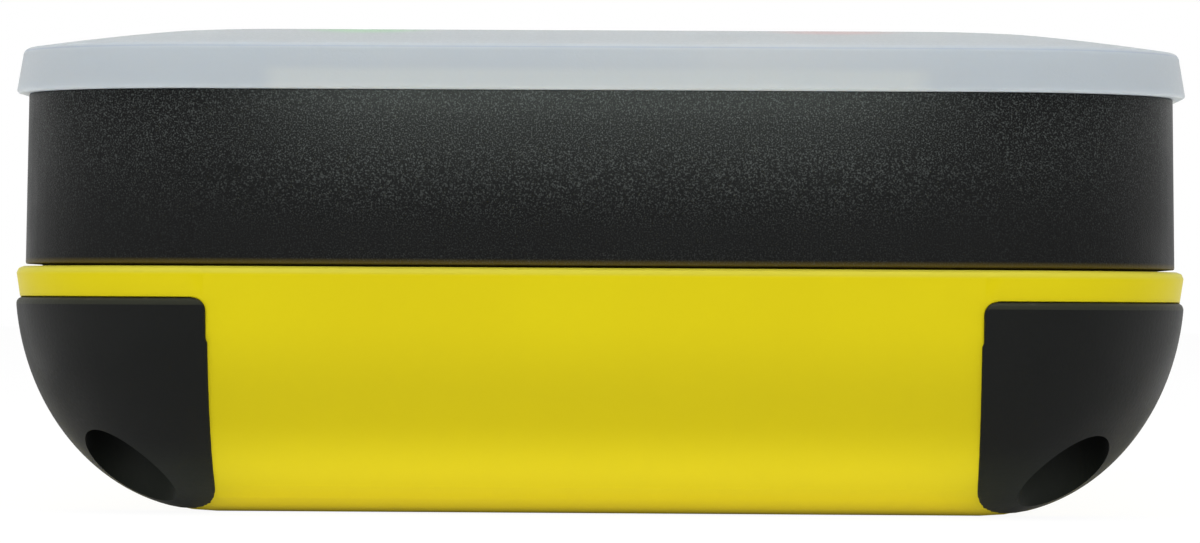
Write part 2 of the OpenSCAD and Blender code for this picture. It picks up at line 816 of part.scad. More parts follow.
module housing_shell() {
    tongue_in = cavity_in + fit;
    difference() {
        union() {
            loft([[ledge_z + seal_t, tongue_in], [housing_z + fit, tongue_in]]);
            loft([[housing_z, housing_in], [cover_z, shoulder_in]]);
            loft([[cover_z - fit, neck_in], [face_z, neck_in]]);
        }
        loft([[ledge_z, tongue_in + tongue_t], [housing_z + flange_t, housing_inner]]);
        loft([[housing_z + flange_t - fit, housing_inner], [flange_z, housing_inner]]);
        slab(flange_z - over, flange_t + 2 * over, housing_inner + flange_w);
        loft([[plate_z, housing_inner], [face_z + over, housing_inner]]);
        for (s = [-1, 1])
            block(0, s * (body_l / 2 - neck_in), cover_z, rib_w + 2 * rib_side,
                2 * (rib_t + cover_gap), neck_h + over);
    }
}

module housing_bosses() {
    intersection() {
        union() {
            at_screws() rod(0, 0, housing_z, flange_z - housing_z + fit, boss_d);
            at_posts() rod(0, 0, board_top, plate_z - board_top, post_d);
            for (s = [-1, 1], y = [post_near_y, post_far_y])
                block(s * (post_x + (body_w / 2 - housing_in - post_x) / 2), y, board_top,
                    body_w / 2 - housing_in - post_x, post_d / 2, plate_z - board_top);
        }
        slab(housing_z, band_h, shoulder_in + fit);
    }
}

module port_pad() {
    foot = flap_low - port_low;
    deep = end_face - flap_back + port_wall;
    block(-end_x, end_face - deep / 2, foot, flap_w + 2 * (flap_gap + port_side), deep, plate_z - foot);
}

module port_cuts() {
    w = flap_w + 2 * flap_gap;
    translate([-end_x - w / 2, flap_back, flap_low])
        cube([w, over + body_l / 2 - flap_back, flap_h + barrel_d / 2 + 2 * flap_gap]);
    translate([-end_x - plug_w / 2 - plug_gap, flap_back - port_wall - over, port_z - plug_h / 2 - plug_gap])
        cube([plug_w + 2 * plug_gap, port_wall + 2 * over, plug_h + 2 * plug_gap]);
    translate([-end_x, flap_y, flap_z]) rotate([0, 90, 0])
        cylinder(h = w + 2 * flap_pin_seat, d = flap_pin_d, center = true);
}

module lanyard_body() {
    depth = lanyard_depth + lanyard_wall;
    block(end_x, end_face - depth / 2, lanyard_z - lanyard_wall, lanyard_w + 2 * lanyard_wall,
        depth, plate_z - lanyard_z + lanyard_wall);
}

module mid_housing() {
    color([0.15, 0.16, 0.155]) difference() {
        union() {
            housing_shell();
            housing_bosses();
            port_pad();
            lanyard_body();
        }
        port_cuts();
        block(end_x, end_face - lanyard_depth / 2 + over, lanyard_z,
            lanyard_w, lanyard_depth + 2 * over, lanyard_h);
        translate([0, 0, -over]) lanyard_rod(lanyard_h + lanyard_wall + lanyard_seat + over);
        translate([0, end_inner - over, power_z]) rotate([-90, 0, 0])
            cylinder(h = 2 * housing_wall + over, d = power_d + 2 * key_gap);
        at_screws() rod(0, 0, housing_z - over, insert_z + insert_l - housing_z + over, insert_d);
        at_posts() rod(0, 0, board_top - over, over + board_thread_in + insert_cap, board_thread_d);
    }
}

// Steel pin of the lanyard recess, and the hole for it
module lanyard_rod(h) {
    rod(end_x, end_face - lanyard_pin_in, lanyard_z - lanyard_wall, h, lanyard_pin_d);
}

// Fasteners

module screw(thread_d, length, head_d, head_h, slot) {
    difference() {
        union() {
            translate([0, 0, -head_h / 2]) cylinder(h = length + head_h / 2, d = thread_d);
            translate([0, 0, -head_h]) cylinder(h = head_h, d = head_d);
        }
        for (a = [0, 90])
            rotate([0, 0, a]) translate([-cross_span * head_d / 2, -slot / 2, -head_h - over])
                cube([cross_span * head_d, slot, over + cross_depth * head_h]);
    }
}

module case_screws() {
    color("silver") at_screws() translate([0, 0, seat_z])
        screw(case_thread_d, case_screw_l, case_head_d, case_head_h, case_cross_w);
}

module insert(thread_d) {
    difference() {
        cylinder(h = insert_l, d = insert_d);
        translate([0, 0, -over]) cylinder(h = insert_l + 2 * over, d = thread_d + 2 * insert_gap);
    }
}

module case_inserts() {
    color("goldenrod") at_screws() translate([0, 0, insert_z]) insert(case_thread_d);
}

module door_inserts() {
    color("goldenrod") at_knobs() translate([0, 0, door_insert_z]) insert(case_thread_d);
}

module bracket_insert() {
    color("goldenrod") difference() {
        rod(0, bracket_y, 0, bracket_insert_l, bracket_insert_d);
        rod(0, bracket_y, -over, bracket_insert_l + 2 * over, bracket_hole_d);
    }
}

module board_screws() {
    color("silver") at_posts() translate([0, 0, board_z])
        screw(board_thread_d, board_t + board_thread_in, board_head_d, board_head_h, board_cross_w);
}

// Battery bay

module at_cells() {
    for (a = [0, 180])
        translate([0, bay_y, 0]) rotate([0, 0, a])
            translate([(cell_d + cell_gap) / 2, 0, seat_door_z + cell_gap + cell_d / 2]) children();
}

module battery_cells() {
    base = -bay_l / 2 + contact_t + spring_room;
    color("lightgray") at_cells() rotate([-90, 0, 0]) {
        translate([0, 0, base]) cylinder(h = cell_l - cap_h, d = cell_d);
        translate([0, 0, base]) cylinder(h = cell_l, d = cap_d);
    }
}

module positive_contacts() {
    color("silver") at_cells()
        translate([-cell_d / 4, bay_l / 2 - contact_t, -cell_d / 4])
            cube([cell_d / 2, contact_t, cell_d / 2]);
}

// A bent leaf: a foot flat on the bay's wall and a tongue that reaches to the cell's base
module spring_contacts() {
    foot = -bay_l / 2;
    tip = foot + contact_t + spring_room;
    bend = foot + 2 * contact_t;
    half = cell_d / 3;
    color("silver") at_cells() translate([-cell_d / 4, 0, 0]) rotate([90, 0, 90])
        linear_extrude(cell_d / 2) polygon([
            [foot, -half], [foot + contact_t, -half], [foot + contact_t, half - contact_t],
            [tip - contact_t, 0], [bend, -half / 2], [bend + contact_t, -half / 2 - contact_t],
            [tip, 0], [foot + contact_t, half], [foot, half]]);
}

module battery_door() {
    color("darkkhaki") difference() {
        union() {
            round_block(0, bay_y, door_recess, door_w, door_l, door_t, door_r);
            at_knobs() rod(0, 0, door_recess, knob_boss_h, knob_boss_d - 2 * boss_gap);
        }
        at_knobs() {
            rod(0, 0, 0, door_recess + knob_sink + knob_t + 2 * fit, knob_d + 2 * knob_gap);
            rod(0, 0, 0, door_boss_z + over, case_thread_d + 2 * thread_gap);
        }
    }
}

module door_seal() {
    color("black") difference() {
        block(0, bay_y, door_recess + door_t, bay_w + 2 * door_seal_w, bay_l + 2 * door_seal_w, door_seal_t);
        block(0, bay_y, 0, bay_w, bay_l, top_z);
    }
}

module door_screw() {
    head_z = door_recess + knob_sink;
    color("silver") difference() {
        union() {
            rod(0, 0, head_z, knob_t, knob_d);
            rod(0, 0, head_z, door_insert_z + insert_l - screw_short - head_z, case_thread_d);
        }
        block(0, 0, 0, knob_d - 2 * knob_rim, slot_w, head_z + knob_t / 2);
    }
}

module door_screw_near() { translate([0, bay_y - knob_step, 0]) door_screw(); }
module door_screw_far() { translate([0, bay_y + knob_step, 0]) door_screw(); }

// Boards and electronics

module main_board() {
    notch = boss_d / 2 + board_gap;
    recess = lanyard_depth + lanyard_wall + board_gap;
    color("seagreen") difference() {
        slab(board_z, board_t, board_in);
        quadrants() translate([screw_x - notch, screw_y - notch, 0]) cube([corner_r, corner_r, top_z]);
        at_posts() rod(0, 0, 0, top_z, board_thread_d + 2 * board_hole_gap);
        translate([end_x - lanyard_w / 2 - lanyard_wall - board_gap, end_face - recess, 0])
            cube([lanyard_w + 2 * (lanyard_wall + board_gap), recess, top_z]);
    }
}

module shield_can() {
    color("lightsteelblue") difference() {
        block(0, bay_y, board_z - can_h, can_w, can_l, can_h);
        block(0, bay_y, board_z - can_h + can_wall, can_w - 2 * can_wall, can_l - 2 * can_wall, can_h);
    }
}

module board_chips() {
    beside = can_w / 2 + chip_gap + chip_w / 2;
    color("black") {
        for (y = [bay_y - can_l / 5, bay_y + can_l / 5])
            block(0, y, board_z - chip_h, can_w / 3, can_l / 4, chip_h);
        block(-beside, bay_y, board_z - chip_h, chip_w, chip_long, chip_h);
        block(beside, bay_y, board_z - chip_h, chip_w, chip_short, chip_h);
    }
}

module backup_cell() {
    color("silver") rod(-under_x, under_y, board_z - coin_t, coin_t, coin_d);
}

module beeper() {
    foot = board_z - beeper_h;
    color("black") difference() {
        rod(under_x, under_y, foot, beeper_h, beeper_d);
        rod(under_x, under_y, foot - over, over + sound_depth, sound_d);
    }
}

module antenna_plate() {
    color("silver") block(0, patch_y, board_top, patch_w, patch_w, ground_t);
}

module antenna_patch() {
    w = patch_w - 2 * patch_in;
    color("tan") block(0, patch_y, board_top + ground_t, w, w, patch_t);
}

// Keypad

// Centres of the sprung keys: [x, y]
call_keys = [[-call_x, call_y], [call_x, call_y]];
arrow_keys = [[0, pad_y + arrow_r], [0, pad_y - arrow_r], [-arrow_r, pad_y], [arrow_r, pad_y]];
side_keys = [[side_x, pad_y - side_pitch / 2], [side_x, pad_y + side_pitch / 2]];
rocker_ends = [for (s = [-1, 1]) [-side_x, pad_y + s * (rocker_l / 2 - rocker_dome_in)]];
dome_places = concat(call_keys, arrow_keys, side_keys, rocker_ends, [[0, pad_y]]);

module key_domes() {
    color("silver") for (p = dome_places)
        translate([p[0], p[1], board_top]) cylinder(h = dome_h, d1 = dome_d, d2 = dome_d / 2);
}

module keypad_mat() {
    edge = call_d / 2 + mat_edge / 2;
    color("gray") difference() {
        union() {
            translate([-mat_w / 2, mat_near_y, board_top]) cube([mat_w, mat_far_y - mat_near_y, mat_t]);
            translate([-call_x - edge, call_y - edge, board_top])
                cube([2 * (call_x + edge), pad_y - call_y, mat_t]);
            for (p = dome_places)
                rod(p[0], p[1], board_top, pillar_top - board_top, dome_d - 2 * mat_gap);
        }
        for (p = dome_places)
            rod(p[0], p[1], board_top - over, over + dome_h + mat_gap / 2, dome_d + mat_gap);
    }
}

module round_key(x, y, d, crown) {
    h = face_z + key_stand - key_bottom;
    translate([x, y, key_bottom]) {
        cylinder(h = collar_t, d = d + key_grow);
        cylinder(h = h - key_edge, d = d);
        translate([0, 0, h - key_edge]) cylinder(h = key_edge, d1 = d, d2 = d - 2 * key_edge);
        if (crown > 0) {
            foot = d / 2 - crown_rim;
            ball = (foot * foot + crown * crown) / (2 * crown);
            intersection() {
                translate([0, 0, h + crown - ball]) sphere(r = ball, $fn = crown_fn);
                translate([0, 0, h - fit]) cylinder(h = over, r = foot);
            }
        }
    }
}

module square_key(x, y, w, l) {
    h = face_z + key_stand - key_bottom;
    round_block(x, y, key_bottom, w + key_grow, l + key_grow, collar_t, key_r);
    round_block(x, y, key_bottom, w, l, h - key_step, key_r);
    round_block(x, y, key_bottom, w - 2 * key_step, l - 2 * key_step, h, key_r - key_step);
}

module green_key() { color("limegreen") round_key(-call_x, call_y, call_d, crown_h); }
module red_key() { color("red") round_key(call_x, call_y, call_d, crown_h); }
module enter_key() { color("gray") round_key(0, pad_y, enter_d, 0); }
module up_key() { color("gray") square_key(0, pad_y + arrow_r, arrow_w, arrow_l); }
module down_key() { color("gray") square_key(0, pad_y - arrow_r, arrow_w, arrow_l); }
module left_key() { color("gray") square_key(-arrow_r, pad_y, arrow_l, arrow_w); }
module right_key() { color("gray") square_key(arrow_r, pad_y, arrow_l, arrow_w); }
module menu_key() { color("gray") square_key(side_x, pad_y - side_pitch / 2, side_w, side_l); }
module page_key() { color("gray") square_key(side_x, pad_y + side_pitch / 2, side_w, side_l); }

module rocker_hole(d) {
    translate([-side_x, pad_y, pin_z]) rotate([0, 90, 0])
        cylinder(h = side_w + 2 * (key_gap + rocker_seat), d = d, center = true);
}

module zoom_rocker() {
    h = face_z + rocker_stand - key_bottom;
    color("gray") difference() {
        round_block(-side_x, pad_y, key_bottom, side_w, rocker_l, h, key_r);
        block(-side_x, pad_y, face_z + rocker_stand - rocker_groove, side_w + over, rocker_l / 3, over);
        rocker_hole(pin_d + 2 * running_gap);
    }
}

module rocker_pin() {
    color("silver") rocker_hole(pin_d);
}

// Face plate and display

module face_plate() {
    grow = 2 * key_gap;
    depth = plate_t + 2 * over;
    color([0.12, 0.12, 0.13]) difference() {
        loft([[plate_z, housing_inner + fit], [face_z, housing_inner + fit]]);
        round_block(0, display_y, plate_z - over, window_w, window_l, depth, lens_r - 1);
        round_block(0, display_y, face_z - lens_t, lens_w + 2 * fit, lens_l + 2 * fit,
            lens_t + over, lens_r);
        for (p = call_keys) rod(p[0], p[1], plate_z - over, depth, call_d + grow);
        rod(0, pad_y, plate_z - over, depth, enter_d + grow);
        for (p = [arrow_keys[0], arrow_keys[1]])
            round_block(p[0], p[1], plate_z - over, arrow_w + grow, arrow_l + grow, depth, key_r + key_gap);
        for (p = [arrow_keys[2], arrow_keys[3]])
            round_block(p[0], p[1], plate_z - over, arrow_l + grow, arrow_w + grow, depth, key_r + key_gap);
        for (p = side_keys)
            round_block(p[0], p[1], plate_z - over, side_w + grow, side_l + grow, depth, key_r + key_gap);
        round_block(-side_x, pad_y, plate_z - over, side_w + grow, rocker_l + 2 * grow,
            depth, key_r + key_gap);
        rocker_hole(pin_d);
    }
}

module display_lens() {
    color([0.7, 0.75, 0.78, 0.4])
        round_block(0, display_y, face_z - lens_t, lens_w, lens_l, lens_t, lens_r);
}

module display_gasket() {
    color("black") difference() {
        block(0, display_y, plate_z - gasket_t, frame_w, frame_l, gasket_t);
        block(0, display_y, 0, window_w + 2 * sight, window_l + 2 * sight, top_z);
    }
}

module display_frame() {
    z = plate_z - gasket_t - frame_h;
    color("silver") difference() {
        block(0, display_y, z, frame_w, frame_l, frame_h);
        block(0, display_y, z + frame_t, frame_w - 2 * frame_t, frame_l - 2 * frame_t,
            frame_h - 2 * frame_t);
        block(0, display_y, z + frame_t, window_w + 2 * sight, window_l + 2 * sight, frame_h);
    }
}

module backlight_guide() {
    z = plate_z - gasket_t - frame_h + frame_t;
    color("white") block(0, display_y, z, frame_w - layer_in, frame_l - layer_in, guide_t);
}

module display_glass() {
    z = plate_z - gasket_t - frame_h + frame_t + guide_t;
    color("darkseagreen") block(0, display_y, z, frame_w - layer_in, frame_l - layer_in, glass_t);
}

module display_flex() {
    y = display_y - frame_l / 2;
    color("orange") {
        translate([-flex_w / 2, y - flex_t, board_top]) cube([flex_w, flex_t, flex_rise]);
        translate([-flex_w / 2, y - flex_foot, board_top]) cube([flex_w, flex_foot, flex_t]);
    }
}

// Far end: data port with a hinged cover, power button, lanyard pin

module port_socket() {
    y = port_mouth - socket_l / 2;
    color("silver") difference() {
        block(-end_x, y, board_top, socket_w, socket_l, socket_h + fit);
        block(-end_x, y + socket_base, socket_z + socket_t,
            socket_w - 2 * socket_t, socket_l, socket_h - 2 * socket_t);
    }
}

module port_cover() {
    color("black") difference() {
        union() {
            translate([-end_x - flap_w / 2, flap_y + barrel_d / 2 - flap_t, flap_z])
                cube([flap_w, flap_t, flap_h]);
            translate([-end_x, flap_y, flap_z]) rotate([0, 90, 0])
                cylinder(h = flap_w, d = barrel_d, center = true);
        }
        translate([-end_x, flap_y, flap_z]) rotate([0, 90, 0])
            cylinder(h = flap_w + over, d = flap_pin_d + 2 * running_gap, center = true);
    }
}

module port_plug() {
    front = flap_y + barrel_d / 2 - flap_t;
    back = port_mouth + plug_fit;
    color("dimgray") translate([-end_x - plug_w / 2, back, port_z - plug_h / 2])
        cube([plug_w, front - back, plug_h]);
}

module port_pin() {
    color("silver") translate([-end_x, flap_y, flap_z]) rotate([0, 90, 0])
        cylinder(h = flap_w + 2 * (flap_gap + flap_pin_seat), d = flap_pin_d, center = true);
}

module power_button() {
    h = power_collar_t + fit + end_face - end_inner + power_out;
    color("crimson") translate([0, power_back, power_z]) rotate([-90, 0, 0]) {
        cylinder(h = power_collar_t, d = power_d + 2 * power_collar);
        cylinder(h = h - power_edge, d = power_d);
        translate([0, 0, h - power_edge])
            cylinder(h = power_edge, d1 = power_d, d2 = power_d - 2 * power_edge);
    }
}

module power_switch() {
    color("black") {
        block(0, switch_y - plunger_l - switch_l / 2, board_z - switch_h, switch_w, switch_l, switch_h);
        translate([0, switch_y - plunger_l - over, board_z - switch_h / 2]) rotate([-90, 0, 0])
            cylinder(h = over + plunger_l, d = plunger_d);
    }
}

module lanyard_pin() {
    color("silver") lanyard_rod(lanyard_h + lanyard_wall + lanyard_seat);
}

// Frosted cover

function slope_z(inset) = top_z - cover_rise * pow(1 - min(inset / cover_slope, 1), slope_power);

module cover() {
    first = lip_in + skirt_flare;
    step = (cover_slope - first - edge_round) / slope_steps;
    slopes = [for (i = [0:slope_steps]) first + edge_round + i * step];
    inner = [for (i = slopes) if (i > skirt_in + edge_round) i];
    color([0.75, 0.78, 0.8, 0.6]) {
        difference() {
            loft(concat([
                [cover_z, lip_in + lip_round],
                [cover_z + round_share * lip_round, lip_in + round_share * lip_round],
                [cover_z + lip_round, lip_in],
                [slope_z(0) - edge_round, first],
                [slope_z(0) - round_share * edge_round, first + round_share * edge_round]],
                [for (i = slopes) [slope_z(i), i]]), cover_least_r);
            loft(concat([[cover_z - over, skirt_in], [slope_z(skirt_in) - cover_t, skirt_in]],
                [for (i = inner) [slope_z(i) - cover_t, i]]), cover_least_r);
        }
        for (s = [-1, 1])
            block(0, s * (body_l / 2 - skirt_in), cover_z + rib_lift, rib_w, 2 * rib_t,
                neck_h - rib_lift - cover_gap);
    }
}

rear_shell();
mid_housing();
case_seal();
bumper_near_left();
bumper_near_right();
bumper_far_left();
bumper_far_right();
case_screws();
case_inserts();
bracket_insert();
battery_cells();
positive_contacts();
spring_contacts();
battery_door();
door_seal();
door_screw_near();
door_screw_far();
door_inserts();
main_board();
board_screws();
shield_can();
board_chips();
backup_cell();
beeper();
antenna_patch();
antenna_plate();
keypad_mat();
key_domes();
display_frame();
backlight_guide();
display_glass();
display_gasket();
display_flex();
face_plate();
display_lens();
green_key();
red_key();
enter_key();
up_key();
down_key();
left_key();
right_key();
menu_key();
page_key();
zoom_rocker();
rocker_pin();
port_socket();
port_cover();
port_plug();
port_pin();
power_button();
power_switch();
lanyard_pin();
cover();
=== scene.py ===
import json
import math
import bmesh
import bpy
import numpy as np
from mathutils import Matrix, Quaternion, Vector


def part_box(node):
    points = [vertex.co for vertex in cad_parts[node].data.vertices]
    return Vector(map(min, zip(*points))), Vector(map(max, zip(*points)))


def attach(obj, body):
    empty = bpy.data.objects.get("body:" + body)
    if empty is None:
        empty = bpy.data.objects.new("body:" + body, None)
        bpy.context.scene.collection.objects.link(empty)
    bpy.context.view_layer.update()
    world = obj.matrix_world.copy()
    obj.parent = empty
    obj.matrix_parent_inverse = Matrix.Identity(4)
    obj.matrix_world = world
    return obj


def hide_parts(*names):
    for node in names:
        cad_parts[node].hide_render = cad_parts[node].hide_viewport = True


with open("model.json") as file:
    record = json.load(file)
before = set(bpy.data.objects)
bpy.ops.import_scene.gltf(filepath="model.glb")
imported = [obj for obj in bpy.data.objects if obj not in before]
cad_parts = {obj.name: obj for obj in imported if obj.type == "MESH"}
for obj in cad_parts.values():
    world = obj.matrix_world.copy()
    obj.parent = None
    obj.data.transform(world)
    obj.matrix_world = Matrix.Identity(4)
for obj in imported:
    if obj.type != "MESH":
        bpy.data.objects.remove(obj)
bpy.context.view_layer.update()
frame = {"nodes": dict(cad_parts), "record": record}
scene = bpy.context.scene
mm = 0.001
print("frame loaded:", len(frame["nodes"]), "nodes")


def newPiece(name, mesh, material, body, nodes=()):
    # a piece in the scene, on its body, with its finish, in place of the nodes it stands for
    piece = bpy.data.objects.new(name, mesh)
    scene.collection.objects.link(piece)
    mesh.materials.clear()
    mesh.materials.append(material)
    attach(piece, body)
    if nodes:
        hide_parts(*nodes)
    return piece


def gridFaces(rows, columns, closed):
    # quads between neighbouring rows: corner (r, c), (r, c + 1), (r + 1, c + 1), (r + 1, c)
    last = columns if closed else columns - 1
    row, column = np.meshgrid(np.arange(rows - 1), np.arange(last), indexing="ij")
    ahead = (column + 1) % columns
    corners = (row * columns + column, row * columns + ahead,
               (row + 1) * columns + ahead, (row + 1) * columns + column)
    return np.stack([c.ravel() for c in corners], axis=1)


def gridMesh(name, points, faces, caps=()):
    # places in metres, their faces, and larger faces that close the ends
    mesh = bpy.data.meshes.new(name)
    mesh.from_pydata(points.reshape(-1, 3), [], faces.tolist() + [list(c) for c in caps])
    mesh.validate()
    return mesh


def weld(mesh, distance=2e-6, flat=0.0, outward=False):
    # doubles merged within a distance in metres, and faces joined that meet within some degrees of flat
    work = bmesh.new()
    work.from_mesh(mesh)
    bmesh.ops.remove_doubles(work, verts=work.verts, dist=distance)
    if flat:
        bmesh.ops.dissolve_limit(work, angle_limit=math.radians(flat), verts=work.verts, edges=work.edges)
    if outward:
        bmesh.ops.recalc_face_normals(work, faces=work.faces)
    work.to_mesh(mesh)
    work.free()
    return mesh


def applied(piece):
    # the piece's mesh with its modifiers worked in
    graph = bpy.context.evaluated_depsgraph_get()
    mesh = bpy.data.meshes.new_from_object(piece.evaluated_get(graph))
    piece.modifiers.clear()
    piece.data = mesh
    return mesh


def joinOrCut(piece, tool, operation):
    # the tool is worked into the piece's mesh, and is then gone
    scene.collection.objects.link(tool)
    cut = piece.modifiers.new("cut", "BOOLEAN")
    cut.operation = operation
    cut.solver = "EXACT"
    cut.object = tool
    applied(piece)
    bpy.data.objects.remove(tool)


def shapedTool(tool, other, operation):
    # a tool that is itself joined or cut before it is used
    scene.collection.objects.link(tool)
    joinOrCut(tool, other, operation)
    scene.collection.objects.unlink(tool)
    return tool


def boxTool(low, high):
    # a block between two corners, in millimetres
    x, y, z = np.meshgrid(*[(a, b) for a, b in zip(low, high)], indexing="ij")
    points = np.stack([x.ravel(), y.ravel(), z.ravel()], axis=1) * mm
    faces = np.array([[0, 1, 3, 2], [4, 6, 7, 5], [0, 4, 5, 1], [2, 3, 7, 6], [0, 2, 6, 4], [1, 5, 7, 3]])
    return bpy.data.objects.new("tool", gridMesh("tool", points, faces))


def rodTool(start, end, radius, sides=72):
    # place = start + t (end - start) + radius (cos a, sin a) across it, in millimetres
    start, end = np.array(start, float), np.array(end, float)
    along = (end - start) / np.linalg.norm(end - start)
    side = np.cross(along, [0.3, 0.5, 0.81])
    side /= np.linalg.norm(side)
    angle = np.arange(sides) * 2 * np.pi / sides
    ring = np.outer(np.cos(angle), side) + np.outer(np.sin(angle), np.cross(along, side))
    points = np.stack([start + radius * ring, end + radius * ring]) * mm
    caps = [range(sides - 1, -1, -1), range(sides, 2 * sides)]
    mesh = weld(gridMesh("tool", points, gridFaces(2, sides, True), caps), outward=True)
    return bpy.data.objects.new("tool", mesh)


def srgb(red, green, blue):
    # a colour as it is seen, to the light value that shaders use: ((c + 0.055) / 1.055) ^ 2.4
    shares = [c / 255 for c in (red, green, blue)]
    return tuple(((c + 0.055) / 1.055) ** 2.4 if c > 0.04 else c / 12.92 for c in shares) + (1.0,)


def put(tree, kind, values=None, **settings):
    # a shader node, with each input linked to a socket or set to a value
    node = tree.nodes.new("ShaderNode" + kind)
    for key, value in settings.items():
        setattr(node, key, value)
    for key, value in (values or {}).items():
        if isinstance(value, bpy.types.NodeSocket):
            tree.links.new(value, node.inputs[key])
        else:
            node.inputs[key].default_value = value
    return node


def mixColour(tree, share, first, second):
    return put(tree, "Mix", {0: share, 6: first, 7: second}, data_type="RGBA").outputs[2]


def sums(tree, operation, first, second):
    return put(tree, "Math", {0: first, 1: second}, operation=operation).outputs[0]


def ramp(tree, value, low, high, toLow=0.0, toHigh=1.0):
    # a soft step: toLow where the value is low, toHigh where it is high
    names = {"Value": value, "From Min": low, "From Max": high, "To Min": toLow, "To Max": toHigh}
    return put(tree, "MapRange", names, interpolation_type="SMOOTHSTEP").outputs[0]


def objectPlace(tree):
    # x, y and z of a place on the object
    return put(tree, "SeparateXYZ", {0: put(tree, "TexCoord").outputs["Object"]}).outputs


def aside(tree, place, axis, low, high):
    # from 0 to 1 as the distance from the middle along one axis, |x| or |y|, goes from low to high
    return ramp(tree, sums(tree, "ABSOLUTE", place[axis], 0.0), low, high)


def newGroup(name, inputs, outputs):
    tree = bpy.data.node_groups.new(name, "ShaderNodeTree")
    for label, value in inputs.items():
        tree.interface.new_socket(label, in_out="INPUT", socket_type="NodeSocketFloat").default_value = value
    for label in outputs:
        tree.interface.new_socket(label, in_out="OUTPUT", socket_type="NodeSocketFloat")
    return tree, tree.nodes.new("NodeGroupInput"), tree.nodes.new("NodeGroupOutput")


def noise(tree, place, scale, detail):
    return put(tree, "TexNoise", {"Vector": place, "Scale": scale, "Detail": detail}).outputs[0]


def makeGrain():
    # moulded grain: coarse pits plus finer ones, and a mask of the grain's tips
    look = {"coarseShare": 0.7, "coarseDetail": 1.5, "fineShare": 0.3, "fineDetail": 1.0, "fineScale": 2.7}
    tree, ins, outs = newGroup("mouldedGrain", {"scale": 3000, "tipLow": 0.6, "tipHigh": 0.75}, ["height", "tips"])
    place = put(tree, "TexCoord").outputs["Object"]
    coarse = noise(tree, place, ins.outputs["scale"], look["coarseDetail"])
    fineScale = sums(tree, "MULTIPLY", ins.outputs["scale"], look["fineScale"])
    fine = noise(tree, place, fineScale, look["fineDetail"])
    height = sums(tree, "ADD", sums(tree, "MULTIPLY", coarse, look["coarseShare"]),
                  sums(tree, "MULTIPLY", fine, look["fineShare"]))
    tree.links.new(height, outs.inputs["height"])
    tree.links.new(ramp(tree, coarse, ins.outputs["tipLow"], ins.outputs["tipHigh"]), outs.inputs["tips"])
    return tree


def makeHandling():
    # rubbed edges from the surface's sharpness, broken up by noise, and faint dust on what faces up
    look = {"sharp": (0.52, 0.6), "broken": (0.35, 0.65), "brokenDetail": 3.0,
            "facingUp": (0.3, 1.0), "specks": (0.5, 0.85), "speckScale": 1400, "speckDetail": 2.0}
    tree, ins, outs = newGroup("handlingMarks", {"scale": 220}, ["wear", "dust"])
    place = put(tree, "TexCoord").outputs["Object"]
    shape = put(tree, "NewGeometry")
    broken = noise(tree, place, ins.outputs["scale"], look["brokenDetail"])
    edge = ramp(tree, shape.outputs["Pointiness"], *look["sharp"])
    tree.links.new(sums(tree, "MULTIPLY", edge, ramp(tree, broken, *look["broken"])), outs.inputs["wear"])
    up = put(tree, "SeparateXYZ", {0: shape.outputs["Normal"]}).outputs[2]
    specks = noise(tree, place, look["speckScale"], look["speckDetail"])
    dust = sums(tree, "MULTIPLY", ramp(tree, up, *look["facingUp"]), ramp(tree, specks, *look["specks"]))
    tree.links.new(dust, outs.inputs["dust"])
    return tree


def makeClouds():
    # soft uneven patches over a few millimetres
    detail = 2.0
    tree, ins, outs = newGroup("softClouds", {"scale": 90, "low": 0.35, "high": 0.65}, ["cloud"])
    patches = noise(tree, put(tree, "TexCoord").outputs["Object"], ins.outputs["scale"], detail)
    tree.links.new(ramp(tree, patches, ins.outputs["low"], ins.outputs["high"]), outs.inputs["cloud"])
    return tree


def makeBrushing():
    # lines drawn along y, for metal and film: noise that is squeezed along that axis
    look = {"squeeze": (1.0, 0.03, 1.0), "detail": 2.0}
    tree, ins, outs = newGroup("brushedLines", {"scale": 2500}, ["line"])
    place = put(tree, "TexCoord").outputs["Object"]
    squeezed = put(tree, "Mapping", {"Vector": place, "Scale": look["squeeze"]}).outputs[0]
    tree.links.new(noise(tree, squeezed, ins.outputs["scale"], look["detail"]), outs.inputs["line"])
    return tree


groups = {"grain": makeGrain(), "handling": makeHandling(), "clouds": makeClouds(), "brushing": makeBrushing()}


def useGroup(tree, name, **values):
    node = tree.nodes.new("ShaderNodeGroup")
    node.node_tree = groups[name]
    for key, value in values.items():
        node.inputs[key].default_value = value
    return node


# what a finish has unless it says otherwise; places and heights are in metres, colours are as seen
plainLook = {
    "colour": (120, 120, 120),
    "patch": None,                  # second colour in soft patches, and how fine they are
    "patchScale": 90,
    "tip": None,                    # colour of the grain's tips, and where in the grain they start and are full
    "tipFrom": (0.6, 0.75),
    "tipFade": None,                # two heights, and the tips' share at each, so that tips carrying painted highlight fade with height
    "bands": [],                    # painted light and shade by height: start, full height, share, colour, only at the middle of a side
    "middle": None,                 # along x, along y: where the middle of a side, which gets painted highlights, starts and is full
    "tipAside": 1.0,                # the tips' share away from the middle, where the painted highlight is weaker
    "wear": None,                   # colour of rubbed edges
    "dust": 0.05,                   # share of pale dust on what faces up, and its colour
    "dustColour": (200, 198, 192),
    "grainScale": 3000,             # how fine the grain is, and how deep in metres
    "grainDepth": 0.00001,
    "roughness": (0.4, 0.5),        # at the low and high ends of the patches and grain taken together
    "roughFrom": (0.3, 1.6),
    "brushed": 0.0,                 # share of the drawn lines, and their colour
    "brushedColour": (60, 60, 60),
    "shader": {},                   # constant sockets of the shader
}


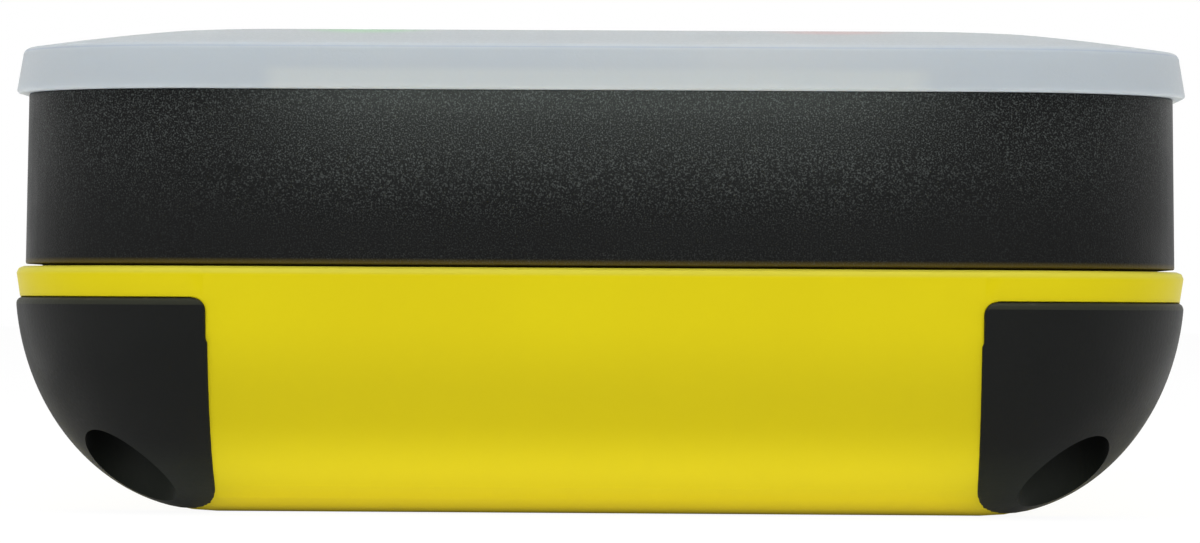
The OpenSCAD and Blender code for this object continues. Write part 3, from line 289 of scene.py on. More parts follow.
def dress(name, changes):
    look = {**plainLook, **changes}
    material = bpy.data.materials.new(name)
    material.use_nodes = True
    tree = material.node_tree
    shader = tree.nodes["Principled BSDF"]
    grain = useGroup(tree, "grain", scale=look["grainScale"], tipLow=look["tipFrom"][0], tipHigh=look["tipFrom"][1])
    clouds = useGroup(tree, "clouds", scale=look["patchScale"])
    marks = useGroup(tree, "handling")
    colour = mixColour(tree, clouds.outputs[0], srgb(*look["colour"]), srgb(*(look["patch"] or look["colour"])))
    middle = 1.0
    place = objectPlace(tree)
    if look["middle"]:
        middle = sums(tree, "MAXIMUM", *[aside(tree, place, axis, *look["middle"][axis]) for axis in (0, 1)])
    # painted light and shade: colour lighter or darker by height, standing in for highlights, shade and reflected
    # light
    for low, high, share, tint, onlyMiddle in look["bands"]:
        amount = ramp(tree, place[2], low, high, 0.0, share)
        amount = sums(tree, "MULTIPLY", amount, middle) if onlyMiddle else amount
        colour = mixColour(tree, amount, colour, srgb(*tint))
    if look["tip"]:
        tips = grain.outputs["tips"]
        # painted highlight: the lighter tips are fewer away from the middle of a side and lower down
        if look["middle"]:
            tips = sums(tree, "MULTIPLY", tips, ramp(tree, middle, 0.0, 1.0, look["tipAside"], 1.0))
        if look["tipFade"]:
            tips = sums(tree, "MULTIPLY", tips, ramp(tree, place[2], *look["tipFade"]))
        colour = mixColour(tree, tips, colour, srgb(*look["tip"]))
    if look["wear"]:
        colour = mixColour(tree, marks.outputs["wear"], colour, srgb(*look["wear"]))
    dust = sums(tree, "MULTIPLY", marks.outputs["dust"], look["dust"])
    colour = mixColour(tree, dust, colour, srgb(*look["dustColour"]))
    height = grain.outputs["height"]
    if look["brushed"]:
        line = useGroup(tree, "brushing").outputs[0]
        share = sums(tree, "MULTIPLY", line, look["brushed"])
        colour = mixColour(tree, share, colour, srgb(*look["brushedColour"]))
        height = sums(tree, "ADD", height, line)
    tree.links.new(colour, shader.inputs["Base Color"])
    uneven = sums(tree, "ADD", clouds.outputs[0], grain.outputs["height"])
    rough = ramp(tree, uneven, *look["roughFrom"], *look["roughness"])
    tree.links.new(rough, shader.inputs["Roughness"])
    bump = put(tree, "Bump", {"Strength": 1.0, "Distance": look["grainDepth"], "Height": height})
    tree.links.new(bump.outputs[0], shader.inputs["Normal"])
    for key, value in look["shader"].items():
        shader.inputs[key].default_value = value
    return material


# finishes, one for each slot of the record
finishes = {
    "yellow_shell": {"colour": (208, 193, 8), "patch": (206, 190, 9), "patchScale": 60,
                     "grainScale": 5200, "grainDepth": 0.000006, "roughness": (0.4, 0.43), "dust": 0.01,
                     # painted highlight: a paler line on the rim's rounding; painted shade: darker from mid height
                     # down; painted light: lighter again low down, and lighter still at the bottom
                     "bands": [(0.0161, 0.0164, 0.6, (206, 199, 75), False),
                               (0.0136, 0.0076, 0.9, (190, 176, 9), False),
                               (0.0067, 0.0023, 0.9, (219, 204, 30), False),
                               (0.0024, 0.0006, 0.9, (229, 212, 10), False)],
                     "shader": {"Specular IOR Level": 0.08}},
    # the grain's lighter tips are partly grain tone and partly painted glints; painted highlight: they thin out
    # lower down and away from the middle of a side
    "black_housing": {"colour": (7, 8, 8), "patch": (9, 10, 10), "patchScale": 140, "tip": (104, 110, 108),
                      "tipFrom": (0.44, 0.84), "tipFade": (0.018, 0.0283, 0.17, 0.95), "grainScale": 9600,
                      "grainDepth": 0.00004, "roughness": (0.4, 0.48), "dust": 0.02,
                      # painted highlight: the upper middle of each side lighter, and lighter still near the top;
                      # painted reflection: a thin olive line at the lower edge, of the yellow shell below
                      "bands": [(0.02, 0.0285, 0.42, (60, 64, 62), True),
                                (0.0258, 0.0285, 0.2, (100, 106, 103), True),
                                (0.01732, 0.0169, 0.6, (96, 82, 20), False)],
                      "middle": ((0.029, 0.012), (0.059, 0.042)), "tipAside": 0.6,
                      "shader": {"Specular IOR Level": 0.1}},
    "bumper_rubber": {"colour": (6, 8, 7), "patch": (8, 10, 9), "grainScale": 4200,
                      # painted highlight: a lighter strip on the rounded top edge; painted light: the lower part
                      # lighter
                      "bands": [(0.0141, 0.01413, 0.4, (58, 60, 46), False),
                                (0.0055, 0.0012, 0.9, (27, 31, 25), False)],
                      "grainDepth": 0.000012, "roughness": (0.5, 0.66), "dust": 0.05,
                      "shader": {"Specular IOR Level": 0.13, "Sheen Weight": 0.03, "Sheen Roughness": 0.4}},
    "seal_rubber": {"colour": (16, 16, 16), "grainDepth": 0.000004, "roughness": (0.45, 0.6)},
    "steel": {"colour": (176, 178, 180), "patch": (160, 162, 166), "wear": (205, 205, 205), "grainDepth": 0.000003,
              "brushed": 0.25, "roughness": (0.24, 0.42), "shader": {"Metallic": 1.0}},
    "spring_steel": {"colour": (205, 200, 188), "grainDepth": 0.000002, "brushed": 0.15, "roughness": (0.2, 0.34),
                     "shader": {"Metallic": 1.0}},
    "brass": {"colour": (214, 172, 88), "patch": (196, 150, 70), "grainDepth": 0.000004, "brushed": 0.2,
              "roughness": (0.25, 0.42), "shader": {"Metallic": 1.0}},
    "cell_sleeve": {"colour": (60, 84, 120), "patch": (66, 92, 128), "grainDepth": 0.000004,
                    "roughness": (0.22, 0.34), "shader": {"Coat Weight": 0.3}},
    "door_plastic": {"colour": (214, 198, 22), "patch": (210, 193, 24), "wear": (228, 214, 80), "grainScale": 2600,
                     "grainDepth": 0.000018, "roughness": (0.42, 0.54), "dust": 0.03},
    "circuit_board": {"colour": (20, 84, 50), "patch": (24, 96, 58), "patchScale": 500, "grainScale": 900,
                      "grainDepth": 0.000012, "roughness": (0.25, 0.4), "shader": {"Coat Weight": 0.2}},
    "chip_black": {"colour": (30, 31, 32), "grainScale": 6000, "grainDepth": 0.000006, "roughness": (0.55, 0.7)},
    "ceramic": {"colour": (196, 176, 142), "patch": (188, 166, 130), "tip": (220, 204, 176), "grainScale": 2200,
                "grainDepth": 0.000014, "roughness": (0.6, 0.75)},
    "silicone_mat": {"colour": (92, 96, 98), "patch": (100, 104, 106), "grainDepth": 0.00001,
                     "roughness": (0.5, 0.62)},
    "light_guide": {"colour": (232, 236, 238), "patch": (224, 230, 234), "grainDepth": 0.000004,
                    "roughness": (0.3, 0.4), "shader": {"Subsurface Weight": 0.2, "Subsurface Scale": 0.002}},
    "display_glass": {"colour": (146, 156, 140), "patch": (138, 150, 134), "grainScale": 9000,
                      "grainDepth": 0.000001, "roughness": (0.06, 0.12), "shader": {"Coat Weight": 0.4}},
    "amber_film": {"colour": (196, 122, 40), "patch": (206, 134, 48), "brushed": 0.2, "grainDepth": 0.000003,
                   "roughness": (0.25, 0.35)},
    "face_black": {"colour": (26, 27, 29), "tip": (52, 53, 55), "grainScale": 5000, "grainDepth": 0.000014,
                   "roughness": (0.45, 0.5), "dust": 0.02},
    "lens_clear": {"colour": (226, 232, 234), "patch": (222, 230, 234), "dust": 0.02, "grainScale": 700,
                   "grainDepth": 0.0000004, "roughness": (0.03, 0.08),
                   "shader": {"Transmission Weight": 0.95, "IOR": 1.49}},
    "key_green": {"colour": (20, 150, 52), "patch": (24, 142, 56), "wear": (70, 180, 96), "grainDepth": 0.000005,
                  "roughness": (0.3, 0.42)},
    "key_red": {"colour": (196, 34, 28), "patch": (184, 34, 30), "wear": (214, 80, 70), "grainDepth": 0.000005,
                "roughness": (0.3, 0.42)},
    "key_grey": {"colour": (142, 146, 150), "patch": (136, 140, 145), "wear": (170, 174, 178),
                 "grainDepth": 0.000008, "roughness": (0.38, 0.5)},
    "port_rubber": {"colour": (26, 28, 27), "patch": (30, 32, 31), "wear": (56, 56, 55), "grainScale": 3800,
                    "grainDepth": 0.00002, "roughness": (0.5, 0.64)},
}
materials = {slot: dress(slot, look) for slot, look in finishes.items()}


frostedLook = {
    "blue": (202, 210, 216), "neutral": (209, 215, 218), "patchScale": 45,     # two tones in soft patches
    "grainScale": 4600, "grainDepth": 0.000012, "roughness": (0.42, 0.55), "roughFrom": (0.3, 0.7),
    # painted shade: a thin darker blue line along the turn of the upper edge
    "crease": (176, 188, 206), "creaseHeight": 0.03135, "creaseWidth": 0.00008, "creaseShare": 0.7,
    "top": (186, 193, 195), "topFrom": (0.03145, 0.0319, 0.55),     # painted shade, greyer towards the flat top: start, full height, share
    # where the ribs' tone starts and is full: going down, going in along x, going out along y
    "rib": (214, 220, 221), "ribZ": (0.0302, 0.0295), "ribX": (0.0226, 0.0208), "ribY": (0.068, 0.0684),
    "dust": 0.03, "dustColour": (214, 214, 210),
    "under": [      # painted show-through of the parts under the cover: node, how far its patch reaches and where it is full, shift along y, share, colour
        ("display_lens", (1.35, 0.7), 0.0, 0.22, (150, 160, 164)),
        ("green_key", (1.3, 0.3), -0.0024, 0.42, (150, 235, 150)),
        ("red_key", (1.4, 0.3), -0.0022, 0.36, (240, 158, 148))],
    "shader": {"Transmission Weight": 0.35, "IOR": 1.46, "Subsurface Weight": 0.6, "Subsurface Scale": 0.0012,
               "Subsurface Radius": (0.8, 0.9, 1.0), "Specular IOR Level": 0.4},
}


def makeFrosted(look):
    # milky cover: bluer and greyer in soft patches, with its ribs, and the light and shade of what lies under it
    # painted on faintly as show-through
    material = bpy.data.materials.new("frosted_cover")
    material.use_nodes = True
    tree = material.node_tree
    shader = tree.nodes["Principled BSDF"]
    grain = useGroup(tree, "grain", scale=look["grainScale"])
    clouds = useGroup(tree, "clouds", scale=look["patchScale"])
    marks = useGroup(tree, "handling")
    colour = mixColour(tree, clouds.outputs[0], srgb(*look["blue"]), srgb(*look["neutral"]))
    place = objectPlace(tree)
    # the locating ribs inside make the skirt milkier: low, between their ends, and near the two short sides
    spans = sums(tree, "MULTIPLY", aside(tree, place, 0, *look["ribX"]), aside(tree, place, 1, *look["ribY"]))
    ribs = sums(tree, "MULTIPLY", ramp(tree, place[2], *look["ribZ"]), spans)
    colour = mixColour(tree, ribs, colour, srgb(*look["rib"]))
    # painted shade: the slope and top greyer from the upper edge up
    start, full, share = look["topFrom"]
    colour = mixColour(tree, ramp(tree, place[2], start, full, 0.0, share), colour, srgb(*look["top"]))
    for node, reach, shift, share, tint in look["under"]:
        # painted show-through: the colour of what lies right under the cover as a soft patch: distance from its
        # middle, in its own size
        low, high = [np.array(corner) + (0, shift, 0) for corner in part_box(node)]
        scale = 2 / (high - low) * (1, 1, 0)
        squeezed = put(tree, "Mapping", {"Vector": put(tree, "TexCoord").outputs["Object"], "Scale": tuple(scale),
                                         "Location": tuple(-(low + high) / 2 * scale)}).outputs[0]
        span = put(tree, "VectorMath", {0: squeezed}, operation="LENGTH").outputs["Value"]
        colour = mixColour(tree, ramp(tree, span, *reach, 0.0, share), colour, srgb(*tint))
    # painted shade: a thin darker blue line at the upper edge's height
    away = sums(tree, "ABSOLUTE", sums(tree, "SUBTRACT", place[2], look["creaseHeight"]), 0.0)
    line = ramp(tree, away, look["creaseWidth"], 0.0, 0.0, look["creaseShare"])
    colour = mixColour(tree, line, colour, srgb(*look["crease"]))
    dust = sums(tree, "MULTIPLY", marks.outputs["dust"], look["dust"])
    colour = mixColour(tree, dust, colour, srgb(*look["dustColour"]))
    tree.links.new(colour, shader.inputs["Base Color"])
    rough = ramp(tree, grain.outputs["height"], *look["roughFrom"], *look["roughness"])
    tree.links.new(rough, shader.inputs["Roughness"])
    bump = put(tree, "Bump", {"Strength": 1.0, "Distance": look["grainDepth"], "Height": grain.outputs["height"]})
    tree.links.new(bump.outputs[0], shader.inputs["Normal"])
    for key, value in look["shader"].items():
        shader.inputs[key].default_value = value
    return material


materials["frosted_cover"] = makeFrosted(frostedLook)
print("materials made:", len(materials))

nodeSlot = {part["node"]: part["material_slot"] for part in frame["record"]["subparts"]}
for node, piece in frame["nodes"].items():
    for place in piece.material_slots:
        place.material = materials[nodeSlot[node]]


# cover: a shallow tray with a flared skirt, a rounded upper edge and a slope up to its flat top
coverSizes = {      # in millimetres; heights are from the flat back, insets from the unit's outline
    "width": 80.0, "length": 140.0, "cornerRadius": 14.0, "leastRadius": 3.0, "foot": 28.5, "top": 33.2,
    "lipIn": 0.05, "lipRound": 0.24, "flare": 0.4, "edgeHeight": 31.45, "edgeRound": 0.55,
    "slopeRun": 17.0, "slopePower": 1.5, "wall": 1.2, "skirtIn": 1.35, "footRound": 0.12,
    "ribWidth": 43.6, "ribThick": 0.45, "ribLow": 28.75, "ribHigh": 29.9, "ribRoot": 0.3,
    "sharpFrom": 40,        # degrees
    # how many points, and how they crowd towards the edge
    "arcPoints": 26, "sidePoints": 22, "slopePoints": 26, "slopeCrowd": 1.3, "insidePoints": 18, "insideCrowd": 1.2,
    "wallPoints": 6, "footPoints": 5, "lipPoints": 8, "flarePoints": 12, "edgePoints": 9}


def roundedOutline(insets, sizes):
    # x = sx (w / 2 - inset - r) + r cos a, y = sy (l / 2 - inset - r) + r sin a, r = max(corner - inset, least)
    # sx and sy are the signs of the corner, and run evenly from one to the next along a side
    arc = np.linspace(0, np.pi / 2, sizes["arcPoints"])
    run = np.linspace(1, -1, sizes["sidePoints"] + 2)[1:-1]
    steady = np.ones_like(run)
    signX, signY, angle = [], [], []
    for turn, (sx, sy) in enumerate([(1, 1), (-1, 1), (-1, -1), (1, -1)]):
        signX += [np.full_like(arc, sx), run * sx if turn % 2 == 0 else steady * sx]
        signY += [np.full_like(arc, sy), steady * sy if turn % 2 == 0 else run * sy]
        angle += [arc + turn * np.pi / 2, steady * (turn + 1) * np.pi / 2]
    signX, signY, angle = (np.concatenate(part)[None, :] for part in (signX, signY, angle))
    inset = np.asarray(insets, float)[:, None]
    radius = np.maximum(sizes["cornerRadius"] - inset, sizes["leastRadius"])
    x = signX * (sizes["width"] / 2 - inset - radius) + radius * np.cos(angle)
    y = signY * (sizes["length"] / 2 - inset - radius) + radius * np.sin(angle)
    return x, y


def arcSteps(first, last, bend, count):
    # quarter turn between two points of a profile: first + (last - first) (1 - cos t, sin t)
    t = np.linspace(0, np.pi / 2, count)
    shares = (1 - np.cos(t), np.sin(t)) if bend else (np.sin(t), 1 - np.cos(t))
    return np.stack([first[k] + (last[k] - first[k]) * shares[k] for k in (0, 1)], axis=1)


def slopeHeight(inset, s):
    # z = top - rise (1 - inset / run) ^ power
    rise = s["top"] - s["edgeHeight"]
    return s["top"] - rise * (1 - np.minimum(inset / s["slopeRun"], 1)) ** s["slopePower"]


def makeCover(s):
    # a profile of (height, inset) from the middle of the inside down the skirt, round the lip, up the flare and
    # over the slope to the top; each of its points goes once round the rounded outline
    first = s["lipIn"] + s["flare"]
    start = first + s["edgeRound"]
    outside = np.linspace(0, 1, s["slopePoints"]) ** s["slopeCrowd"]
    slope = start + (s["slopeRun"] - first - s["edgeRound"]) * outside
    inside = np.linspace(0, 1, s["insidePoints"]) ** s["insideCrowd"]
    inner = s["skirtIn"] + (s["slopeRun"] - s["skirtIn"]) * inside
    innerRows = np.stack([slopeHeight(inner, s) - s["wall"], inner], axis=1)
    outerRows = np.stack([slopeHeight(slope, s), slope], axis=1)
    edgeFoot = slopeHeight(start, s)
    wallHeights = np.linspace(innerRows[0, 0], s["foot"] + s["footRound"], s["wallPoints"])[1:]
    wallRows = np.stack([wallHeights, np.full_like(wallHeights, s["skirtIn"])], axis=1)
    flareShare = np.linspace(0, 1, s["flarePoints"])[1:-1]
    flareHeights = np.linspace(s["foot"] + s["lipRound"], edgeFoot - s["edgeRound"], s["flarePoints"])[1:-1]
    profile = np.concatenate([
        innerRows[::-1], wallRows,
        arcSteps((s["foot"] + s["footRound"], s["skirtIn"]), (s["foot"], s["skirtIn"] - s["footRound"]), True,
                 s["footPoints"])[1:],
        arcSteps((s["foot"], s["lipIn"] + s["lipRound"]), (s["foot"] + s["lipRound"], s["lipIn"]), True,
                 s["lipPoints"]),
        np.stack([flareHeights, s["lipIn"] + s["flare"] * flareShare], axis=1),
        arcSteps((edgeFoot - s["edgeRound"], first), (edgeFoot, start), False, s["edgePoints"]),
        outerRows[1:]])
    x, y = roundedOutline(profile[:, 1], s)
    z = np.broadcast_to(profile[:, :1], x.shape)
    points = np.stack([x, y, z], axis=2) * mm
    rows, columns = x.shape
    caps = [range(columns), range((rows - 1) * columns, rows * columns)]
    mesh = weld(gridMesh("cover", points, gridFaces(rows, columns, True), caps), outward=True)
    piece = newPiece("frostedCover", mesh, materials["frosted_cover"], "cover", ["cover"])
    reach = s["length"] / 2 - s["skirtIn"]
    half = s["ribWidth"] / 2
    for side in (-1, 1):
        low, high = sorted([side * (reach - s["ribThick"]), side * (reach + s["ribRoot"])])
        joinOrCut(piece, boxTool((-half, low, s["ribLow"]), (half, high, s["ribHigh"])), "UNION")
    piece.data.shade_smooth()
    piece.data.set_sharp_from_angle(angle=math.radians(s["sharpFrom"]))
    return piece


frostedCover = makeCover(coverSizes)
print("cover made:", len(frostedCover.data.polygons), "faces")


# corner bumpers: rubber skins over the shell's curved corners
bumperSizes = {     # in millimetres; the far right corner, which the others mirror
    "axis": (26.0, 56.0), "edge": (25.8, 55.8), "radius": 14.0, "top": 14.6, "run": 13.5, "mid": 15.7,
    "thick": 1.2, "topRound": 0.42, "corner": 0.9, "foot": 7.0, "footHeight": 11.6,
    "screw": (31.5, 61.5), "recess": 3.1, "sleeve": 3.7, "seat": 12.45, "sleeveUnder": 0.01,
    "stepHeight": 11.75, "stepOut": 0.13, "stepSoft": 0.04, "stepWide": 1.4,
    "voxel": 0.13, "soften": 7, "softenShare": 0.5,
    "sharpFrom": 0.7,       # radians
    "outerPoints": 34, "roundPoints": 7, "innerPoints": 24, "turnPoints": 40, "domePoints": 96, "boreSides": 160,
    # how far the cutting tools reach past the piece, and where the upper corner's block starts
    "past": 1, "wellPast": 2, "footPast": 3, "blockReach": 20, "rodReach": 30, "blockFrom": 0.5}


def hullInset(z, depth, low, s):
    # inset = depth + (run - depth) (1 - sqrt(1 - ((mid - z) / (mid - low)) ^ 2))
    return depth + (s["run"] - depth) * (1 - np.sqrt(np.maximum(1 - ((s["mid"] - z) / (s["mid"] - low)) ** 2, 0)))


def makeBumper(s):
    # skin: x = axis + (radius - inset) cos a, y = axis + (radius - inset) sin a over a quarter turn, with both
    # ends carried straight to the edge, and the inset from the outer and inner hull
    angle = np.linspace(math.asin((s["mid"] - s["top"] + s["topRound"]) / s["mid"]), np.pi / 2, s["outerPoints"])
    outerZ = s["mid"] - s["mid"] * np.sin(angle)
    outer = np.stack([outerZ, hullInset(outerZ, 0, 0, s)], axis=1)
    rounding = arcSteps(outer[0], (s["top"], outer[0, 1] + s["topRound"]), False, s["roundPoints"])[1:]
    innerMid = s["mid"] - s["thick"]
    innerAngle = np.linspace(math.asin((s["mid"] - s["top"]) / innerMid), np.pi / 2, s["innerPoints"])
    innerZ = s["mid"] - innerMid * np.sin(innerAngle)
    inner = np.stack([innerZ, hullInset(innerZ, s["thick"], s["thick"], s)], axis=1)
    profile = np.concatenate([outer[::-1], rounding, inner])
    axisX, axisY = s["axis"]
    edgeX, edgeY = s["edge"]
    reach = (s["radius"] - profile[:, 1])[:, None]
    turn = np.linspace(0, np.pi / 2, s["turnPoints"])[None, :]
    x = np.concatenate([axisX + reach, axisX + reach * np.cos(turn), np.full_like(reach, edgeX)], axis=1)
    y = np.concatenate([np.full_like(reach, edgeY), axisY + reach * np.sin(turn), axisY + reach], axis=1)
    # two more rows run along the edge itself, at the height of the profile's ends, and close the skin
    ends = np.array([profile[-1, 0], profile[0, 0]])[:, None] * np.ones((1, x.shape[1]))
    z = np.concatenate([np.broadcast_to(profile[:, :1], x.shape), ends])
    x = np.concatenate([x, np.full(ends.shape, edgeX)])
    y = np.concatenate([y, np.full(ends.shape, edgeY)])
    rows, columns = x.shape
    skin = np.stack([x, y, z], axis=2)
    ring = np.concatenate([skin, skin[:1]]) * mm
    rim = np.arange(rows) * columns
    caps = [rim.tolist(), (rim + columns - 1)[::-1].tolist()]
    mesh = weld(gridMesh("bumper", ring, gridFaces(rows + 1, columns, False), caps), outward=True)
    piece = bpy.data.objects.new("bumperMould", mesh)
    scene.collection.objects.link(piece)
    # rubber sleeve in the screw recess, trimmed to the corner's outside: x = axis + R cos a, y = axis + R sin a
    sx, sy = s["screw"]
    spin = np.linspace(0, 2 * np.pi, s["domePoints"], endpoint=False)[None, :]
    under = s["sleeveUnder"]
    shrunk = np.concatenate([[0.0], s["radius"] - outer[::-1, 1] - under, [0.0]])[:, None]
    level = np.concatenate([[under], outer[::-1, 0] + under, [outer[0, 0] + under]])[:, None]
    dome = np.stack([axisX + shrunk * np.cos(spin), axisY + shrunk * np.sin(spin), level + 0 * spin], axis=2) * mm
    domeMesh = weld(gridMesh("dome", dome, gridFaces(len(shrunk), s["domePoints"], True)), outward=True)
    sleeve = rodTool((sx, sy, -s["past"]), (sx, sy, s["seat"]), s["sleeve"])
    joinOrCut(piece, shapedTool(sleeve, bpy.data.objects.new("dome", domeMesh), "INTERSECT"), "UNION")
    # the rounded inner corner on the back
    low = [edgeX - s["past"], edgeY - s["past"], -s["past"]]
    high = [edgeX + s["foot"], edgeY + s["foot"], s["footHeight"]]
    rod = rodTool((high[0], high[1], -s["footPast"]), (high[0], high[1], s["blockReach"]), s["foot"],
                  s["boreSides"])
    joinOrCut(piece, shapedTool(boxTool(low, high), rod, "DIFFERENCE"), "DIFFERENCE")
    for axis in (0, 1):
        # what is outside the rounding at the upper inner corner
        foot = s["top"] - s["corner"]
        low = [axisX + s["blockFrom"], axisY + s["blockFrom"], foot]
        high = [axisX + s["blockReach"], axisY + s["blockReach"], s["top"] + s["wellPast"]]
        low[axis], high[axis] = s["edge"][axis] - s["past"], s["edge"][axis] + s["corner"]
        start = [low[0], low[1], foot]
        start[axis] = s["edge"][axis] + s["corner"]
        end = list(start)
        start[1 - axis] -= s["wellPast"]
        end[1 - axis] += s["rodReach"]
        block = shapedTool(boxTool(low, high), rodTool(start, end, s["corner"]), "DIFFERENCE")
        joinOrCut(piece, block, "DIFFERENCE")
    fine = piece.modifiers.new("fine", "REMESH")
    fine.mode = "VOXEL"
    fine.voxel_size = s["voxel"] * mm * 1
    soften = piece.modifiers.new("soften", "SMOOTH")
    soften.factor = s["softenShare"]
    soften.iterations = s["soften"]
    mesh = applied(piece)
    # the mould's step: below it both side edges stand further out, by out / (1 + e ^ ((z - height) / soft))
    places = np.zeros(len(mesh.vertices) * 3)
    mesh.vertices.foreach_get("co", places)
    places = places.reshape(-1, 3)
    below = 1 / (1 + np.exp(np.clip((places[:, 2] / mm - s["stepHeight"]) / s["stepSoft"], -50, 50)))
    for axis in (0, 1):
        near = np.clip((s["edge"][axis] + s["stepWide"] - places[:, axis] / mm) / s["stepWide"], 0, 1)
        places[:, axis] -= s["stepOut"] * mm * below * near
    mesh.vertices.foreach_set("co", places.ravel())
    bore = rodTool((sx, sy, -s["wellPast"]), (sx, sy, s["seat"] + s["past"]), s["recess"], s["boreSides"])
    joinOrCut(piece, bore, "DIFFERENCE")
    mesh = piece.data
    bpy.data.objects.remove(piece)
    mesh.shade_smooth()
    mesh.set_sharp_from_angle(angle=s["sharpFrom"])
    return mesh


bumperMesh = makeBumper(bumperSizes)
corners = {"bumper_far_right": (1, 1), "bumper_far_left": (-1, 1),
           "bumper_near_right": (1, -1), "bumper_near_left": (-1, -1)}
for node, (mirrorX, mirrorY) in corners.items():
    mesh = bumperMesh.copy()
    mesh.transform(Matrix.Diagonal((mirrorX, mirrorY, 1, 1)))
    if mirrorX * mirrorY < 0:
        mesh.flip_normals()
    newPiece("rubber_" + node, mesh, materials["bumper_rubber"], "case", [node])
print("bumpers made:", len(bumperMesh.polygons), "faces each")


# moulded parts that keep the frame's own shape: how wide their soft edges are, in millimetres
softEdges = {
    "rear_shell": 0.05, "mid_housing": 0.1, "battery_door": 0.16, "face_plate": 0.12, "port_cover": 0.2,
    "power_button": 0.12, "green_key": 0.15, "red_key": 0.15, "enter_key": 0.12, "up_key": 0.1, "down_key": 0.1,
    "left_key": 0.1, "right_key": 0.1, "menu_key": 0.1, "page_key": 0.1, "zoom_rocker": 0.12,
    "door_screw_near": 0.12, "door_screw_far": 0.12, "display_lens": 0.1, "bracket_insert": 0.1,
}
softening = {"flat": 0.4, "segments": 2, "fromAngle": 34, "evenWeight": 60}      # angles in degrees


def softened(node, width, name):
    # a merged copy of the frame's mesh, with its sharper edges rounded to a width in millimetres
    source = frame["nodes"][node]
    body = next(b for b, members in frame["record"]["behaviour"]["bodies"].items() if node in members)
    count = len(source.data.vertices)
    places = np.zeros(count * 3)
    source.data.vertices.foreach_get("co", places)
    source.data.calc_loop_triangles()
    corners = np.zeros(len(source.data.loop_triangles) * 3, np.int32)
    source.data.loop_triangles.foreach_get("vertices", corners)
    mesh = bpy.data.meshes.new(name)
    mesh.from_pydata(places.reshape(-1, 3), [], corners.reshape(-1, 3).tolist())
    weld(mesh, flat=softening["flat"])
    mesh.shade_smooth()
    slot = nodeSlot[node]
    piece = newPiece(name, mesh, materials[slot], body, [node])
    bevel = piece.modifiers.new("edge", "BEVEL")
    bevel.width = width * mm
    bevel.segments = softening["segments"]
    bevel.limit_method = "ANGLE"
    bevel.angle_limit = math.radians(softening["fromAngle"])
    bevel.use_clamp_overlap = False
    even = piece.modifiers.new("even", "WEIGHTED_NORMAL")
    even.weight = softening["evenWeight"]


for node, width in softEdges.items():
    words = node.split("_")
    softened(node, width, words[0] + "".join(w.title() for w in words[1:]))
print("softened copies made:", len(softEdges))


stageLook = {       # in metres
    "floorSize": 6.0, "openTo": (0.0262, 0.0562), "paper": (0.92, 0.92, 0.92, 1),
    "floorKept": 0.07,      # share of the floor's own shading that is seen, so that the shadow stays
    "floorGlow": 0.43, "darkTo": ((0.026, 0.0325), (0.056, 0.0625)),    # where its glow starts and is full, x and y
    "worldLight": 0.34,
    "lamps": [      # name, place, aim, size, power in watts, spread in radians
        ("overhead", (0.0, -0.3, 1.1), (0, -0.3, 0), 1.5, 8.0, 3.1),
        ("table", (0.0, -0.42, 0.45), (0, -0.42, 0), 0.6, 0.95, 1.6),
        ("front", (-0.9, -1.2, 0.35), (0, 0, 0.01), 0.8, 1.0, 3.1)]}


def makeFloor(s):
    # a ring: it is open where the flat back touches it, so that the back can be seen and lit from below
    size = s["floorSize"] / 2
    inside, outside = np.array(s["openTo"]), np.array([size, size])
    turn = np.array([[-1, -1], [1, -1], [1, 1], [-1, 1]])
    flat = np.concatenate([turn * inside, turn * outside])
    corners = np.concatenate([flat, np.zeros((8, 1))], axis=1)
    sides = np.array([[4, 5, 1, 0], [5, 6, 2, 1], [6, 7, 3, 2], [7, 4, 0, 3]])
    floor = bpy.data.objects.new("floor", gridMesh("floor", corners, sides))
    scene.collection.objects.link(floor)
    material = bpy.data.materials.new("paperFloor")
    material.use_nodes = True
    tree = material.node_tree
    tree.nodes.remove(tree.nodes["Principled BSDF"])
    paper = put(tree, "BsdfDiffuse", {"Color": s["paper"]})
    # the table's own light fades away under the object
    place = objectPlace(tree)
    clearOf = sums(tree, "MAXIMUM", *[aside(tree, place, axis, *s["darkTo"][axis]) for axis in (0, 1)])
    strength = sums(tree, "MULTIPLY", clearOf, s["floorGlow"])
    glow = put(tree, "Emission", {"Color": (1, 1, 1, 1), "Strength": strength})
    table = put(tree, "AddShader", {0: paper.outputs[0], 1: glow.outputs[0]})
    white = put(tree, "Emission", {"Color": (1, 1, 1, 1), "Strength": 1.0})
    path = put(tree, "LightPath")
    seen = sums(tree, "MAXIMUM", path.outputs["Is Camera Ray"], path.outputs["Is Transmission Ray"])
    share = sums(tree, "MULTIPLY", seen, 1 - s["floorKept"])
    mixed = put(tree, "MixShader", {0: share, 1: table.outputs[0], 2: white.outputs[0]})
    behind = put(tree, "NewGeometry").outputs["Backfacing"]
    clear = put(tree, "BsdfTransparent", {"Color": (1, 1, 1, 1)})
    oneSided = put(tree, "MixShader", {0: behind, 1: mixed.outputs[0], 2: clear.outputs[0]})
    tree.links.new(oneSided.outputs[0], tree.nodes["Material Output"].inputs["Surface"])
    floor.data.materials.append(material)


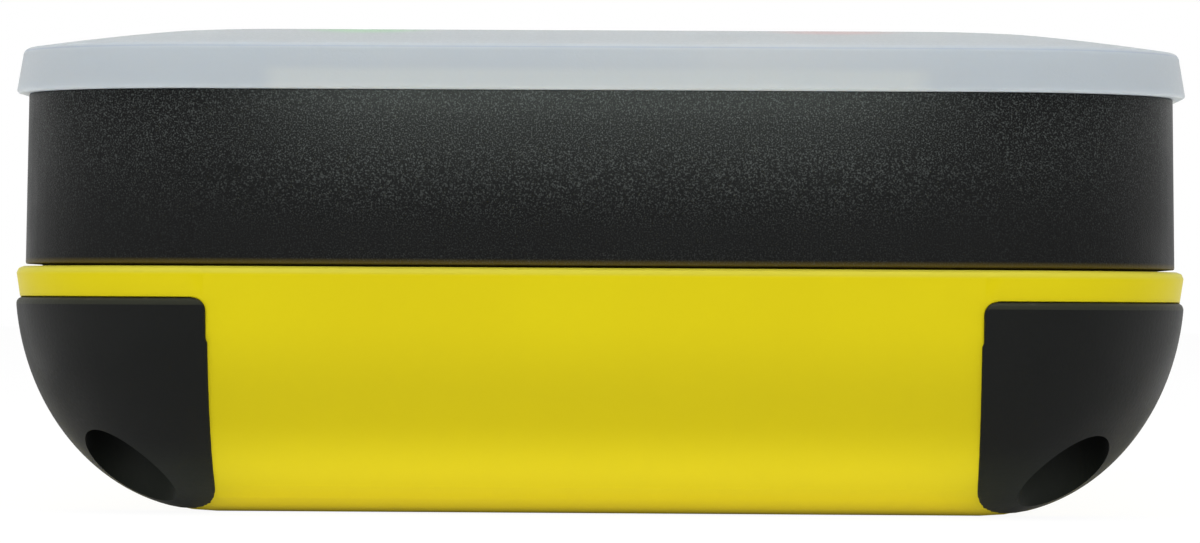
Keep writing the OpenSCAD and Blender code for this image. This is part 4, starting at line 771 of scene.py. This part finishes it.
def makeWorld(s):
    # white where the camera, gloss or glass looks at it, and dimmer as a light
    world = bpy.data.worlds.new("whiteRoom")
    world.use_nodes = True
    scene.world = world
    tree = world.node_tree
    path = put(tree, "LightPath")
    seen = sums(tree, "MAXIMUM", path.outputs["Is Camera Ray"],
                sums(tree, "MAXIMUM", path.outputs["Is Glossy Ray"], path.outputs["Is Transmission Ray"]))
    light = put(tree, "Background", {"Color": (1, 1, 1, 1), "Strength": s["worldLight"]})
    white = put(tree, "Background", {"Color": (1, 1, 1, 1), "Strength": 1.0})
    mixed = put(tree, "MixShader", {0: seen, 1: light.outputs[0], 2: white.outputs[0]})
    tree.links.new(mixed.outputs[0], tree.nodes["World Output"].inputs["Surface"])


def makeLamps(s):
    for name, place, aim, size, power, spread in s["lamps"]:
        lamp = bpy.data.lights.new(name, "AREA")
        lamp.shape = "SQUARE"
        lamp.size = size
        lamp.energy = power
        lamp.spread = spread
        holder = bpy.data.objects.new(name, lamp)
        holder.location = place
        holder.rotation_euler = (Vector(aim) - Vector(place)).to_track_quat("-Z", "Y").to_euler()
        scene.collection.objects.link(holder)


makeFloor(stageLook)
makeWorld(stageLook)
makeLamps(stageLook)

cameraLook = {      # place and aim in millimetres, roll in radians, near clip in metres
    "place": (9.34, -455.0, 14.18), "aim": (0.38, -70.0, 16.47), "roll": 0.0058,
    "lens": 174.75, "sensor": 36.0, "nearClip": 0.01}
camera = bpy.data.objects.new("camera", bpy.data.cameras.new("camera"))
camera.location = Vector(cameraLook["place"]) * mm
toward = (Vector(cameraLook["aim"]) - Vector(cameraLook["place"])).to_track_quat("-Z", "Y")
camera.rotation_mode = "QUATERNION"
camera.rotation_quaternion = toward @ Quaternion((0, 0, 1), cameraLook["roll"])
camera.data.sensor_width = cameraLook["sensor"]
camera.data.lens = cameraLook["lens"]
camera.data.clip_start = cameraLook["nearClip"]
scene.collection.objects.link(camera)
scene.camera = camera
scene.view_settings.view_transform = "Standard"
print("stage, lamps and camera set")
